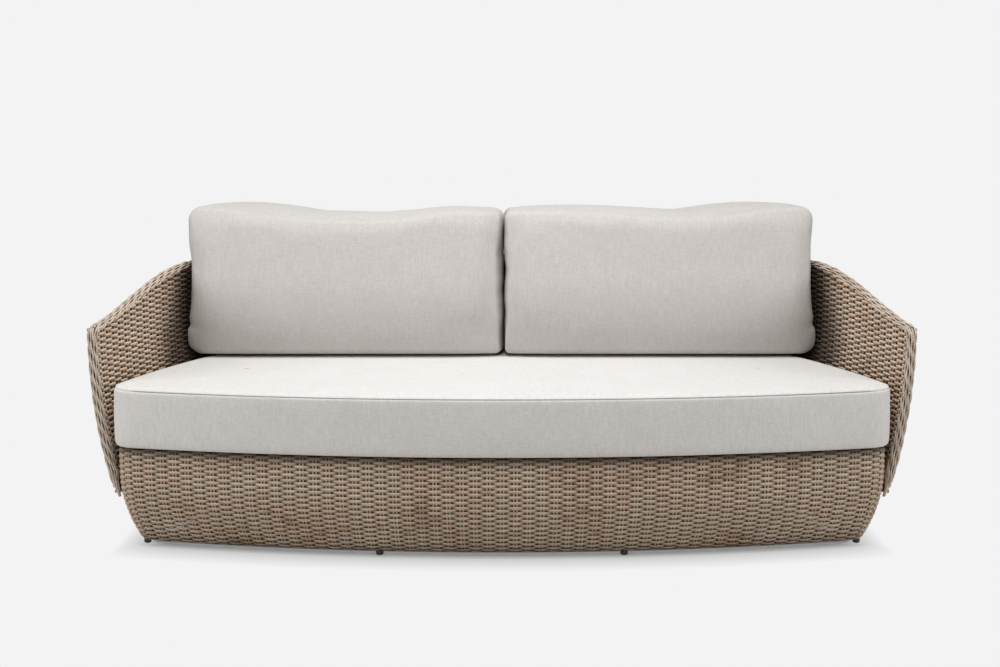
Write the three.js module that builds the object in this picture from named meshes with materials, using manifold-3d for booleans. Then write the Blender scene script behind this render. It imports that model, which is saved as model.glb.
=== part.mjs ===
// A woven garden sofa for a patio: a bowed base tub, a shell that wraps both ends and the back,
// one seat cushion and two back cushions, on levelling feet.
// Millimetres, +Z up, the seat faces -Y. The origin lies on the floor under the middle of the sofa.
import * as THREE from 'three';
import { mergeVertices } from 'three/addons/utils/BufferGeometryUtils.js';
import Module from 'manifold-3d';

const wasm = await Module();
wasm.setup();

// Fits and clearances
const clearance = 0.3;
const cutOverrun = 4;

// Plan outline of the seat, which the base, the shell and the cushions all follow
const seatHalfWidth = 1031;
const frontReach = 473;
const rearReach = 405;
const frontBowRadius = 3900;
const frontCornerRadius = 80;
const sideBowRadius = 2600;
const rearCornerRadius = 200;
const cornerParallelDepth = 24;
const cornerShrinkShare = 0.6;
const sideStartAngle = THREE.MathUtils.degToRad(13);
const frontSteps = 7;
const frontCornerSteps = 4;
const sideSteps = 6;
const rearCornerSteps = 4;

// Base tub of woven strand
const skinThickness = 6;
const baseBottomZ = 11;
const baseUprightZ = 200;
const seatDeckZ = 276.7;
const baseTopInset = 12;
const baseLeanIn = 53;
const baseTopRound = 14;
const baseBottomRound = 9;
const bottomLipReach = 27;

// Base frame of aluminium tube
const railWall = 2;
const topRailWidth = 25;
const topRailGap = 3;
const bottomRailDiameter = 25;
const bottomRailGap = 1;
const postWidth = 22;
const postWall = 2;
const postFootPlate = 4;
const bearerWidth = 40;
const bearerHeight = 30;
const bearerInnerX = 240;
const bearerOuterX = 690;
const slatCount = 6;
const slatWidth = 60;
const slatThickness = 5;
const slatReach = 300;
const topLipShare = 0.8;

// Levelling feet
const footFaceRadius = 7;
const footWidestRadius = 10;
const footNeckRadius = 7.8;
const footSoleHeight = 3;
const footHeight = 10.4;
const footStemRadius = 4;
const footStemTopZ = 42;
const footInnerX = 320;
const frontFootCornerShare = 0.6;
const rearFootSideShare = 0.75;
const footSides = 12;
const bushRadius = 7;
const bushBore = 4.4;
const bushFlangeZ = 14.6;
const bushHoleClearance = 0.4;
const footHoleClearance = 0.9;

// Shell of woven strand round both ends and the back
const shellWall = 30;
const shellSkin = 3.5;
const shellBottomZ = 137;
const armTipZ = 590;
const backRimZ = 712;
const rimRiseStartY = -300;
const rimRiseEndY = 224;
const shellFlare = 66;
const shellFlareDrop = 66;
const shellFlarePower = 2.3;
const shellBaseGap = 1.5;
const armLead = 20;
const rimRadius = 15;

// Binding along each arm's front edge
const bindingDepth = 13;
const bindingTopDrop = 3;
const bindingTipShare = 0.5;

// Shell frame
const rimTubeRadius = 9.8;
const tubeWall = 2;
const hemWireRadius = 1.5;
const hemWireRise = 12;
const uprightWidth = 25;
const uprightThickness = 3;
const armBarSetback = 14;
const uprightInnerX = 320;
const uprightSideSteps = [1, 4];
const bossRadius = 8;
const bossThreadDepth = 14;
const bossHoleClearance = 1.2;

// Shell fixing bolts
const boltShankRadius = 4;
const boltHeadAcrossCorners = 15;
const boltHeadHeight = 5.5;
const boltHoleClearance = 0.4;
const boltSides = 8;
const boltHeadSides = 6;

// Seat cushion
const seatCushionHeight = 156;
const seatCushionInset = 2;
const seatCushionBulge = 7;
const seatCushionCrown = 9;
const seatCushionBottomRound = 12;
const seatSeamInset = 4;
const seatSeamDrop = 6;
const seatTopRound = 15;
const seatSpineHalf = 700;
const seatSpineY = -23;
const seatBottomRoundShare = 0.3;
const seatCrownShares = [[0, 0], [0.1, 0.5], [0.22, 0.85], [0.36, 1], [0.75, 1]];

// Back cushions
const backCushionFrontY = 155;
const backCushionHeight = 432;
const backCushionDepth = 222;
const backCushionEndGap = 3;
const backCushionInnerX = 3;
const backCushionLean = THREE.MathUtils.degToRad(10);
const backCushionCrown = 45;
const backCushionRearCrown = 8;
const backCushionEdgeRound = 26;
const backCushionRearRound = 58;
const backTopCornerRadius = 52;
const backLowCornerRadius = 34;
const backInnerCornerRadius = 20;
const backTopEarRise = 16;
const backTopSag = 12;
const backSideDrawIn = 7;
const backLowBulge = 9;
const backInnerInsetShare = 0.4;
const backCrownShares = [[0.8, 1], [0.56, 0.92], [0.36, 0.75], [0.18, 0.48], [0.06, 0.2]];

// Colours and finishes
const strandBrown = 0x9c8672;
const bindingBrown = 0x8f7a67;
const tubeGrey = 0x8d8a86;
const steelGrey = 0xa9abad;
const footBlack = 0x1c1b1a;
const seatCloth = 0xdedbd7;
const backCloth = 0xcfcac5;

function finish(color, roughness, metalness) {
  return new THREE.MeshStandardMaterial({ color, roughness, metalness });
}

const sofa = new THREE.Group();

function addPiece(name, geometry, material) {
  const mesh = new THREE.Mesh(geometry, material);
  mesh.name = name;
  sofa.add(mesh);
  return mesh;
}

// Solid helpers

function solidFromTriangles(points, faces) {
  const geometry = new THREE.BufferGeometry();
  const coordinates = points.flatMap((point) => [point.x, point.y, point.z]);
  geometry.setAttribute('position', new THREE.Float32BufferAttribute(coordinates, 3));
  geometry.setIndex(faces.flat());
  return geometry;
}

// Closed rings of equal length, joined in a row; the ends are capped, or the last ring meets the first.
// Every ring runs counter-clockwise when seen with the row going away from the eye.
function loft(rings, capFaces) {
  const count = rings[0].length;
  const points = rings.flat();
  const faces = [];
  const gaps = capFaces ? rings.length - 1 : rings.length;
  for (let i = 0; i < gaps; i += 1) {
    const here = i * count;
    const next = ((i + 1) % rings.length) * count;
    for (let j = 0; j < count; j += 1) {
      const k = (j + 1) % count;
      faces.push([here + j, next + j, here + k]);
      faces.push([next + j, next + k, here + k]);
    }
  }
  if (capFaces) {
    const last = (rings.length - 1) * count;
    for (const [a, b, c] of capFaces) {
      faces.push([a, b, c]);
      faces.push([last + a, last + c, last + b]);
    }
  }
  return solidFromTriangles(points, faces);
}

// Triangles that fill a flat ring, turned the way the ring runs
function capOf(ring) {
  const faces = THREE.ShapeUtils.triangulateShape(ring, []);
  const filled = faces.reduce(
    (sum, [a, b, c]) => sum + THREE.ShapeUtils.area([ring[a], ring[b], ring[c]]), 0,
  );
  const isAlike = filled * THREE.ShapeUtils.area(ring) > 0;
  return isAlike ? faces : faces.map(([a, b, c]) => [a, c, b]);
}

function mirroredRings(rings) {
  return rings.map((ring) => ring.map(
    (point) => new THREE.Vector3(-point.x, point.y, point.z),
  ).reverse());
}

// A tube: outer and inner rings in a row, with an open bore from end to end
function loftTube(outerRings, innerRings) {
  const count = outerRings[0].length;
  const points = [...outerRings.flat(), ...innerRings.flat()];
  const faces = [];
  const innerStart = outerRings.length * count;
  for (let i = 0; i < outerRings.length - 1; i += 1) {
    const here = i * count;
    const next = here + count;
    for (let j = 0; j < count; j += 1) {
      const k = (j + 1) % count;
      faces.push([here + j, next + j, here + k]);
      faces.push([next + j, next + k, here + k]);
      faces.push([innerStart + here + j, innerStart + here + k, innerStart + next + j]);
      faces.push([innerStart + next + j, innerStart + here + k, innerStart + next + k]);
    }
  }
  const last = (outerRings.length - 1) * count;
  for (let j = 0; j < count; j += 1) {
    const k = (j + 1) % count;
    faces.push([j, k, innerStart + j]);
    faces.push([k, innerStart + k, innerStart + j]);
    faces.push([last + j, innerStart + last + j, last + k]);
    faces.push([last + k, innerStart + last + j, innerStart + last + k]);
  }
  return solidFromTriangles(points, faces);
}

function toManifold(geometry) {
  const bare = geometry.clone();
  bare.deleteAttribute('normal');
  bare.deleteAttribute('uv');
  const merged = mergeVertices(bare);
  const vertProperties = merged.attributes.position.array;
  const triVerts = new Uint32Array(merged.index.array);
  return new wasm.Manifold(new wasm.Mesh({ numProp: 3, vertProperties, triVerts }));
}

function toGeometry(manifold) {
  const mesh = manifold.getMesh();
  const geometry = new THREE.BufferGeometry();
  geometry.setAttribute('position', new THREE.BufferAttribute(mesh.vertProperties, 3));
  geometry.setIndex(new THREE.BufferAttribute(mesh.triVerts, 1));
  return geometry;
}

function cutFrom(geometry, cutters) {
  let body = toManifold(geometry);
  for (const cutter of cutters) {
    body = body.subtract(toManifold(cutter));
  }
  return toGeometry(body);
}

function joined(geometries) {
  let body = toManifold(geometries[0]);
  for (const geometry of geometries.slice(1)) {
    body = body.add(toManifold(geometry));
  }
  return toGeometry(body);
}

// A cylinder from one point to another
function rodBetween(start, end, radius, sides) {
  const along = new THREE.Vector3().subVectors(end, start);
  const geometry = new THREE.CylinderGeometry(radius, radius, along.length(), sides);
  const turn = new THREE.Quaternion().setFromUnitVectors(
    new THREE.Vector3(0, 1, 0),
    along.clone().normalize(),
  );
  geometry.applyQuaternion(turn);
  const middle = new THREE.Vector3().addVectors(start, end).multiplyScalar(0.5);
  geometry.translate(middle.x, middle.y, middle.z);
  return geometry;
}

function upright(profile, sides) {
  return new THREE.LatheGeometry(profile, sides).rotateX(Math.PI / 2);
}

// Plan outline. It is drawn at any distance outward of the seat's edge: a bowed front, front corners,
// sides that bow in towards the back, rear corners and a straight back. Far inside the seat's edge
// the front corners keep some of their radius, so that the tub's foot still has round corners.

const outlines = new Map();

function outlineAt(outward) {
  if (outlines.has(outward)) {
    return outlines.get(outward);
  }
  const frontRadius = frontBowRadius + outward;
  const parallelOutward = Math.max(outward, -cornerParallelDepth);
  const cornerRadius = frontCornerRadius + parallelOutward
    + (outward - parallelOutward) * cornerShrinkShare;
  const sideRadius = sideBowRadius + outward;
  const rearRadius = rearCornerRadius + outward;
  const frontEndAngle = Math.asin(
    (seatHalfWidth + outward - cornerRadius) / (frontRadius - cornerRadius),
  );
  const frontCentre = new THREE.Vector2(0, frontBowRadius - frontReach);
  const cornerCentre = new THREE.Vector2(
    (frontRadius - cornerRadius) * Math.sin(frontEndAngle),
    frontCentre.y - (frontRadius - cornerRadius) * Math.cos(frontEndAngle),
  );
  const sideCentre = new THREE.Vector2(
    cornerCentre.x - (sideRadius - cornerRadius) * Math.cos(sideStartAngle),
    cornerCentre.y - (sideRadius - cornerRadius) * Math.sin(sideStartAngle),
  );
  const sideEndAngle = Math.asin(
    (rearReach + outward - rearRadius - sideCentre.y) / (sideRadius - rearRadius),
  );
  const rearCentre = new THREE.Vector2(
    sideCentre.x + (sideRadius - rearRadius) * Math.cos(sideEndAngle),
    rearReach + outward - rearRadius,
  );
  const downward = -Math.PI / 2;
  const outline = {
    front: { centre: frontCentre, radius: frontRadius, start: downward, end: downward + frontEndAngle },
    corner: {
      centre: cornerCentre, radius: cornerRadius, start: downward + frontEndAngle, end: sideStartAngle,
    },
    side: { centre: sideCentre, radius: sideRadius, start: sideStartAngle, end: sideEndAngle },
    rearCorner: { centre: rearCentre, radius: rearRadius, start: sideEndAngle, end: Math.PI / 2 },
  };
  outlines.set(outward, outline);
  return outline;
}

// Plan stations. Each gives, at any distance outward, its place, the outward normal and the
// direction of travel; they run from the middle of the front round the +X end to the back.

function spotOnArc(arc, angle) {
  const normal = new THREE.Vector2(Math.cos(angle), Math.sin(angle));
  return {
    place: arc.centre.clone().addScaledVector(normal, arc.radius),
    normal,
    travel: new THREE.Vector2(-normal.y, normal.x),
  };
}

function arcStation(arcName, share) {
  return (outward) => {
    const arc = outlineAt(outward)[arcName];
    return spotOnArc(arc, THREE.MathUtils.lerp(arc.start, arc.end, share));
  };
}

function frontStationAt(x) {
  return (outward) => {
    const arc = outlineAt(outward).front;
    return spotOnArc(arc, arc.start + Math.asin(x / arc.radius));
  };
}

function rearStationAt(x) {
  return (outward) => ({
    place: new THREE.Vector2(x, rearReach + outward),
    normal: new THREE.Vector2(0, 1),
    travel: new THREE.Vector2(-1, 0),
  });
}

// The same station on the other side of the sofa, travelling on round the loop
function mirrored(station) {
  return (outward) => {
    const spot = station(outward);
    return {
      place: new THREE.Vector2(-spot.place.x, spot.place.y),
      normal: new THREE.Vector2(-spot.normal.x, spot.normal.y),
      travel: new THREE.Vector2(spot.travel.x, -spot.travel.y),
    };
  };
}

// Moves a station along its direction of travel
function movedAlong(station, distance) {
  return (outward) => {
    const spot = station(outward);
    return { ...spot, place: spot.place.clone().addScaledVector(spot.travel, distance) };
  };
}

function arcStations(arcName, steps, firstStep, lastStep) {
  const stations = [];
  for (let i = firstStep; i <= lastStep; i += 1) {
    stations.push(arcStation(arcName, i / steps));
  }
  return stations;
}

const frontStations = arcStations('front', frontSteps, 0, frontSteps - 1);
const cornerStations = arcStations('corner', frontCornerSteps, 0, frontCornerSteps);
const sideStations = arcStations('side', sideSteps, 1, sideSteps - 1);
const rearCornerStations = arcStations('rearCorner', rearCornerSteps, 0, rearCornerSteps);
const halfLoop = [
  ...frontStations,
  ...cornerStations,
  ...sideStations,
  ...rearCornerStations,
  rearStationAt(0),
];
const wholeLoop = [...halfLoop, ...halfLoop.slice(1, -1).reverse().map(mirrored)];

// The rails split at this station on each side
const splitStation = sideStations[Math.floor(sideStations.length / 2)];
const splitIndex = halfLoop.indexOf(splitStation);

// A point given as its distance outward of the outline at a station, and its height
function placed(station, outward, z) {
  const { place } = station(outward);
  return new THREE.Vector3(place.x, place.y, z);
}

// A point beside a placed point, so far along its normal and so far along its travel
function placedBeside(station, outward, z, alongNormal, alongTravel) {
  const { place, normal, travel } = station(outward);
  const spot = place.clone()
    .addScaledVector(normal, alongNormal)
    .addScaledVector(travel, alongTravel);
  return new THREE.Vector3(spot.x, spot.y, z);
}

// A point on the one straight line that runs outward through a station's place on the seat's edge
function placedOnAxis(station, outward, z) {
  const { place, normal } = station(0);
  const reach = station(outward).place.sub(place).dot(normal);
  const spot = place.clone().addScaledVector(normal, reach);
  return new THREE.Vector3(spot.x, spot.y, z);
}

// Sections in the upright plane of each station, from one section or a function of the station
function sectionRings(stations, sectionAt) {
  return stations.map((station) => sectionAt(station).map(
    (point) => placed(station, point.x, point.y),
  ));
}

// Where the outline, moved outward, crosses a line of constant x or y on the +X side
function outlinePoints(outward) {
  return halfLoop.map((station) => placed(station, outward, 0));
}

function outlineYAt(x, outward, atFront) {
  const points = outlinePoints(outward);
  const side = Math.abs(x);
  let found = 0;
  for (let i = 1; i < points.length; i += 1) {
    const low = points[i - 1];
    const high = points[i];
    const isCrossing = atFront ? low.x <= side && high.x > side : low.x > side && high.x <= side;
    if (isCrossing) {
      found = low.y + ((high.y - low.y) * (side - low.x)) / (high.x - low.x);
    }
  }
  return found;
}

function outlineXAt(y, outward) {
  const points = outlinePoints(outward);
  let found = 0;
  for (let i = 1; i < points.length; i += 1) {
    const low = points[i - 1];
    const high = points[i];
    if (low.y <= y && high.y > y) {
      found = low.x + ((high.x - low.x) * (y - low.y)) / (high.y - low.y);
    }
  }
  return found;
}

// An open line of section points, moved to its left by a distance, with mitred corners
function offsetLine(line, distance) {
  return line.map((point, i) => {
    const before = line[Math.max(i - 1, 0)];
    const after = line[Math.min(i + 1, line.length - 1)];
    const firstEdge = i > 0 ? new THREE.Vector2().subVectors(point, before).normalize() : null;
    const nextEdge = i < line.length - 1 ? new THREE.Vector2().subVectors(after, point).normalize() : null;
    const inEdge = firstEdge ?? nextEdge;
    const outEdge = nextEdge ?? firstEdge;
    const inNormal = new THREE.Vector2(-inEdge.y, inEdge.x);
    const outNormal = new THREE.Vector2(-outEdge.y, outEdge.x);
    const mitre = new THREE.Vector2().addVectors(inNormal, outNormal).normalize();
    return point.clone().addScaledVector(mitre, distance / mitre.dot(outNormal));
  });
}

// A strip of even thickness along a line: the line, then its offset run backwards
function stripSection(line, thickness) {
  return [...line, ...offsetLine(line, thickness).reverse()];
}

// A polygon round a centre, its corners at the given radius
function roundSection(centreX, centreY, radius, sides) {
  const points = [];
  for (let i = 0; i < sides; i += 1) {
    const angle = ((i + 0.5) / sides) * Math.PI * 2;
    points.push(new THREE.Vector2(
      centreX + radius * Math.cos(angle),
      centreY + radius * Math.sin(angle),
    ));
  }
  return points;
}

function boxSection(low, high) {
  return [
    new THREE.Vector2(low.x, low.y),
    new THREE.Vector2(high.x, low.y),
    new THREE.Vector2(high.x, high.y),
    new THREE.Vector2(low.x, high.y),
  ];
}

// Base tub

// How far inside the outline the tub's outer face lies at a height
function baseInset(z) {
  const drop = Math.max(baseUprightZ - z, 0) / (baseUprightZ - baseBottomZ);
  return baseTopInset + baseLeanIn * drop * drop;
}

const bottomRailRadius = bottomRailDiameter / 2;
const bottomRailZ = baseBottomZ + skinThickness + bottomRailGap + bottomRailRadius;
const bottomWallSlope = Math.atan(
  (2 * baseLeanIn * (baseUprightZ - bottomRailZ)) / (baseUprightZ - baseBottomZ) ** 2,
);
const bottomRailInset = baseInset(bottomRailZ)
  + (skinThickness + bottomRailGap + bottomRailRadius) / Math.cos(bottomWallSlope);
const topRailOuterInset = baseTopInset + skinThickness + topRailGap;
const topRailTopZ = seatDeckZ - skinThickness - topRailGap;
const topRailBottomZ = topRailTopZ - topRailWidth;
const topRailMiddleZ = (topRailTopZ + topRailBottomZ) / 2;
const topRailInnerInset = topRailOuterInset + topRailWidth;

function baseOuterLine() {
  const line = [];
  const lowWallZ = baseBottomZ + baseBottomRound;
  const cornerInset = baseInset(baseBottomZ) + baseBottomRound / 2;
  const lipInset = cornerInset + bottomLipReach;
  line.push(new THREE.Vector2(-lipInset, baseBottomZ));
  line.push(new THREE.Vector2(-cornerInset, baseBottomZ));
  const wallShares = [0, 0.2, 0.42, 0.68, 1];
  for (const share of wallShares) {
    const z = lowWallZ + (baseUprightZ - lowWallZ) * share;
    line.push(new THREE.Vector2(-baseInset(z), z));
  }
  const arcCentre = new THREE.Vector2(-baseTopInset - baseTopRound, seatDeckZ - baseTopRound);
  const arcSteps = 3;
  for (let i = 0; i <= arcSteps; i += 1) {
    const angle = (i / arcSteps) * (Math.PI / 2);
    line.push(new THREE.Vector2(
      arcCentre.x + baseTopRound * Math.cos(angle),
      arcCentre.y + baseTopRound * Math.sin(angle),
    ));
  }
  line.push(new THREE.Vector2(-topRailOuterInset - topRailWidth * topLipShare, seatDeckZ));
  return line;
}

// Where the feet stand: the plan station of each, in order round the loop from the front
const footStations = [
  frontStationAt(footInnerX),
  arcStation('corner', frontFootCornerShare),
  arcStation('side', rearFootSideShare),
  rearStationAt(footInnerX),
];
const allFootStations = [...footStations, ...footStations.map(mirrored)];

// Where the shell is bolted to the base
const fixingStations = [
  ...uprightSideSteps.map((step) => arcStation('side', step / sideSteps)),
  rearStationAt(uprightInnerX),
];
const allFixingStations = [...fixingStations, ...fixingStations.map(mirrored)];

function rodOnAxis(station, innerOutward, outerOutward, z, radius) {
  const start = placedOnAxis(station, innerOutward, z);
  const end = placedOnAxis(station, outerOutward, z);
  return rodBetween(start, end, radius, boltSides);
}

const bossHoleRadius = bossRadius + bossHoleClearance;

function baseWicker() {
  const section = stripSection(baseOuterLine(), skinThickness);
  const skin = loft(sectionRings(wholeLoop, () => section), null);
  const footHoleRadius = footWidestRadius + footHoleClearance;
  const footHoles = allFootStations.map((station) => rodBetween(
    placed(station, -bottomRailInset, baseBottomZ - cutOverrun),
    placed(station, -bottomRailInset, bottomRailZ),
    footHoleRadius,
    footSides,
  ));
  const bossHoles = allFixingStations.map((station) => rodOnAxis(
    station, -topRailOuterInset, cutOverrun, topRailMiddleZ, bossHoleRadius,
  ));
  return cutFrom(skin, [...footHoles, ...bossHoles]);
}

// Base rails, each ring in a front and a rear half that butt at the sides

const rightEnd = movedAlong(splitStation, -clearance / 2);
const rightStart = movedAlong(splitStation, clearance / 2);
const frontRailStations = [
  ...halfLoop.slice(1, splitIndex).reverse().map(mirrored),
  ...halfLoop.slice(0, splitIndex),
];
const rearRailStations = [
  ...halfLoop.slice(splitIndex + 1, -1),
  ...halfLoop.slice(splitIndex + 1, -1).reverse().map(mirrored),
];
const frontRailPath = [mirrored(rightEnd), ...frontRailStations, rightEnd];
const rearRailPath = [rightStart, ...rearRailStations, mirrored(rightStart)];

function railTube(path, outerSection, innerSection) {
  return loftTube(
    sectionRings(path, () => outerSection),
    sectionRings(path, () => innerSection),
  );
}

const topRailOuter = boxSection(
  new THREE.Vector2(-topRailInnerInset, topRailBottomZ),
  new THREE.Vector2(-topRailOuterInset, topRailTopZ),
);
const topRailInner = boxSection(
  new THREE.Vector2(-topRailInnerInset + railWall, topRailBottomZ + railWall),
  new THREE.Vector2(-topRailOuterInset - railWall, topRailTopZ - railWall),
);
const bottomRailSides = 8;
const bottomRailOuter = roundSection(
  -bottomRailInset, bottomRailZ, bottomRailRadius, bottomRailSides,
);
const bottomRailInner = roundSection(
  -bottomRailInset, bottomRailZ, bottomRailRadius - railWall, bottomRailSides,
);

function topRail(path) {
  const holeRadius = boltShankRadius + boltHoleClearance;
  const innerEnd = -topRailInnerInset - cutOverrun;
  const outerEnd = -topRailOuterInset + cutOverrun;
  const holes = allFixingStations.map((station) => rodOnAxis(
    station, innerEnd, outerEnd, topRailMiddleZ, holeRadius,
  ));
  return cutFrom(railTube(path, topRailOuter, topRailInner), holes);
}

function bottomRail(path) {
  const holes = allFootStations.map((station) => rodBetween(
    placed(station, -bottomRailInset, bottomRailZ - bottomRailRadius - cutOverrun),
    placed(station, -bottomRailInset, bottomRailZ + bottomRailRadius + cutOverrun),
    bushRadius + bushHoleClearance,
    footSides,
  ));
  return cutFrom(railTube(path, bottomRailOuter, bottomRailInner), holes);
}

// Corners of a square ring in shares of its half widths, and the two faces that fill it
const cornerShares = [[-1, -1], [-1, 1], [1, 1], [1, -1]];
const squareCap = [[0, 1, 2], [0, 2, 3]];

// Posts between the rails; each has a foot plate and a threaded bush down through the bottom rail

function postRing(station, outward, z, halfWidth) {
  return cornerShares.map(([normalShare, travelShare]) => placedBeside(
    station, outward, z, normalShare * halfWidth, travelShare * halfWidth,
  ));
}

const postBottomZ = bottomRailZ + bottomRailRadius + clearance;
const postTopZ = topRailBottomZ - clearance;
const postTopOutward = -(topRailOuterInset + topRailInnerInset) / 2;

function postOutwardAt(z) {
  const share = (z - postBottomZ) / (postTopZ - postBottomZ);
  return THREE.MathUtils.lerp(-bottomRailInset, postTopOutward, share);
}

function basePost(station) {
  const half = postWidth / 2;
  const boreStartZ = postBottomZ + postFootPlate;
  const boreEndZ = postTopZ + cutOverrun;
  const body = loft([
    postRing(station, postOutwardAt(postBottomZ), postBottomZ, half),
    postRing(station, postOutwardAt(postTopZ), postTopZ, half),
  ], squareCap);
  const hollow = loft([
    postRing(station, postOutwardAt(boreStartZ), boreStartZ, half - postWall),
    postRing(station, postOutwardAt(boreEndZ), boreEndZ, half - postWall),
  ], squareCap);
  const rodOnFoot = (startZ, endZ, radius, sides) => rodBetween(
    placed(station, -bottomRailInset, startZ), placed(station, -bottomRailInset, endZ), radius, sides,
  );
  const bush = rodOnFoot(bushFlangeZ, postBottomZ + postFootPlate / 2, bushRadius, footSides);
  const bore = rodOnFoot(bushFlangeZ - cutOverrun, boreStartZ + cutOverrun, bushBore, boltSides);
  return cutFrom(joined([cutFrom(body, [hollow]), bush]), [bore]);
}

// Bearers from the front rail to the rear rail, and slats across them

const bearerTopZ = seatDeckZ - slatThickness - clearance;

function bearer(middleX) {
  const ringAt = (atFront, inset) => {
    const outward = -topRailInnerInset;
    const sideGap = atFront ? clearance : -clearance;
    const corners = [
      [middleX - bearerWidth / 2 + inset, bearerTopZ - bearerHeight + inset],
      [middleX + bearerWidth / 2 - inset, bearerTopZ - bearerHeight + inset],
      [middleX + bearerWidth / 2 - inset, bearerTopZ - inset],
      [middleX - bearerWidth / 2 + inset, bearerTopZ - inset],
    ];
    return corners.map(([x, z]) => new THREE.Vector3(
      x, outlineYAt(x, outward, atFront) + sideGap, z,
    ));
  };
  return loftTube(
    [ringAt(true, 0), ringAt(false, 0)],
    [ringAt(true, railWall), ringAt(false, railWall)],
  );
}

function slat(middleY) {
  const outward = -topRailInnerInset - clearance;
  const ringAt = (side) => {
    const bottomZ = bearerTopZ + clearance;
    const corners = [
      [middleY - slatWidth / 2, bottomZ],
      [middleY + slatWidth / 2, bottomZ],
      [middleY + slatWidth / 2, bottomZ + slatThickness],
      [middleY - slatWidth / 2, bottomZ + slatThickness],
    ];
    return corners.map(([y, z]) => new THREE.Vector3(side * outlineXAt(y, outward), y, z));
  };
  return loft([ringAt(1), ringAt(-1)], squareCap);
}

// Levelling foot: a rounded glide with a threaded stem

function foot() {
  const neckTopZ = bushFlangeZ - clearance;
  const profile = [
    new THREE.Vector2(0, 0),
    new THREE.Vector2(footFaceRadius, 0),
    new THREE.Vector2(footWidestRadius, footSoleHeight),
    new THREE.Vector2(footWidestRadius, footHeight),
    new THREE.Vector2(footNeckRadius, neckTopZ),
    new THREE.Vector2(footStemRadius, neckTopZ),
    new THREE.Vector2(footStemRadius, footStemTopZ),
    new THREE.Vector2(0, footStemTopZ),
  ];
  return upright(profile, footSides);
}

// Shell

function shellOuter(z) {
  const drop = Math.max(armTipZ - z, 0) / (armTipZ - shellBottomZ);
  return shellFlare - shellFlareDrop * drop ** shellFlarePower;
}

function shellInner(z) {
  return Math.max(shellOuter(z) - shellWall, shellBaseGap - baseInset(z));
}

function shellMiddle(z) {
  return (shellOuter(z) + shellInner(z)) / 2;
}

const armFrontStation = movedAlong(arcStation('side', 0), -armLead);
const halfShell = [armFrontStation, arcStation('side', 0), ...sideStations, ...rearCornerStations];
const shellPath = [...halfShell, ...halfShell.slice().reverse().map(mirrored)];

// Height of the rim: a smooth rise from the arm tips to the back, straight between the stations
const rimLevels = halfShell.map((station) => {
  const { y } = station(0).place;
  const rise = THREE.MathUtils.smoothstep(y, rimRiseStartY, rimRiseEndY);
  return { y, z: armTipZ + (backRimZ - armTipZ) * rise };
});

function rimZ(station) {
  const { y } = station(0).place;
  const next = rimLevels.findIndex((level) => level.y >= y);
  if (next === 0) {
    return rimLevels[0].z;
  }
  if (next < 0) {
    return backRimZ;
  }
  const low = rimLevels[next - 1];
  const high = rimLevels[next];
  return THREE.MathUtils.mapLinear(y, low.y, high.y, low.z, high.z);
}

function shellOuterLine(station) {
  const line = [];
  const archZ = rimZ(station) - rimRadius;
  const wallShares = [0, 0.06, 0.16, 0.34, 0.62, 1];
  const wallZ = (share) => shellBottomZ + (archZ - shellBottomZ) * share;
  for (const share of wallShares) {
    line.push(new THREE.Vector2(shellOuter(wallZ(share)), wallZ(share)));
  }
  const archCentre = shellMiddle(archZ);
  const archSteps = 4;
  for (let i = 1; i < archSteps; i += 1) {
    const angle = (i / archSteps) * Math.PI;
    line.push(new THREE.Vector2(
      archCentre + rimRadius * Math.cos(angle),
      archZ + rimRadius * Math.sin(angle),
    ));
  }
  for (const share of wallShares.slice().reverse()) {
    line.push(new THREE.Vector2(shellInner(wallZ(share)), wallZ(share)));
  }
  return line;
}

function shellWicker() {
  const sectionAt = (station) => stripSection(shellOuterLine(station), shellSkin);
  const rings = sectionRings(shellPath, sectionAt);
  const skin = loft(rings, capOf(sectionAt(shellPath[0])));
  const bossHoles = allFixingStations.map((station) => rodOnAxis(
    station, -cutOverrun, shellMiddle(topRailMiddleZ), topRailMiddleZ, bossHoleRadius,
  ));
  return cutFrom(skin, bossHoles);
}

// Binding that closes each arm's front edge, half round in plan
function armBinding(side) {
  const topZ = armTipZ - bindingTopDrop;
  const levelShares = [0, 0.06, 0.3, 0.6, 0.93, 1];
  const noseSteps = 4;
  const rings = levelShares.map((share) => {
    const z = shellBottomZ + (topZ - shellBottomZ) * share;
    const isTop = share === 1;
    const isBottom = share === 0;
    const width = (shellOuter(z) - shellInner(z)) * (isTop ? bindingTipShare : 1);
    const depth = bindingDepth * (isTop || isBottom ? bindingTipShare : 1);
    const ring = [];
    for (let i = 0; i <= noseSteps; i += 1) {
      const angle = (i / noseSteps) * Math.PI;
      const outward = shellMiddle(z) + (width / 2) * Math.cos(angle);
      const forward = clearance + depth * Math.sin(angle);
      ring.push(placed(movedAlong(armFrontStation, -forward), outward, z));
    }
    return ring;
  });
  const placedRings = side > 0 ? rings : mirroredRings(rings);
  const flat = placedRings[0].map((point) => new THREE.Vector2(point.x, point.y));
  return loft(placedRings, capOf(flat));
}

// Shell frame

function rimTube() {
  const sides = 8;
  const centreZ = (station) => rimZ(station) - rimRadius;
  const ringsOf = (radius) => sectionRings(shellPath, (station) => roundSection(
    shellMiddle(centreZ(station)), centreZ(station), radius, sides,
  ));
  return loftTube(ringsOf(rimTubeRadius), ringsOf(rimTubeRadius - tubeWall));
}

const hemWireZ = shellBottomZ + hemWireRise;

function hemWire() {
  const sides = 6;
  const section = roundSection(shellMiddle(hemWireZ), hemWireZ, hemWireRadius, sides);
  return loft(sectionRings(shellPath, () => section), capOf(section));
}

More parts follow.
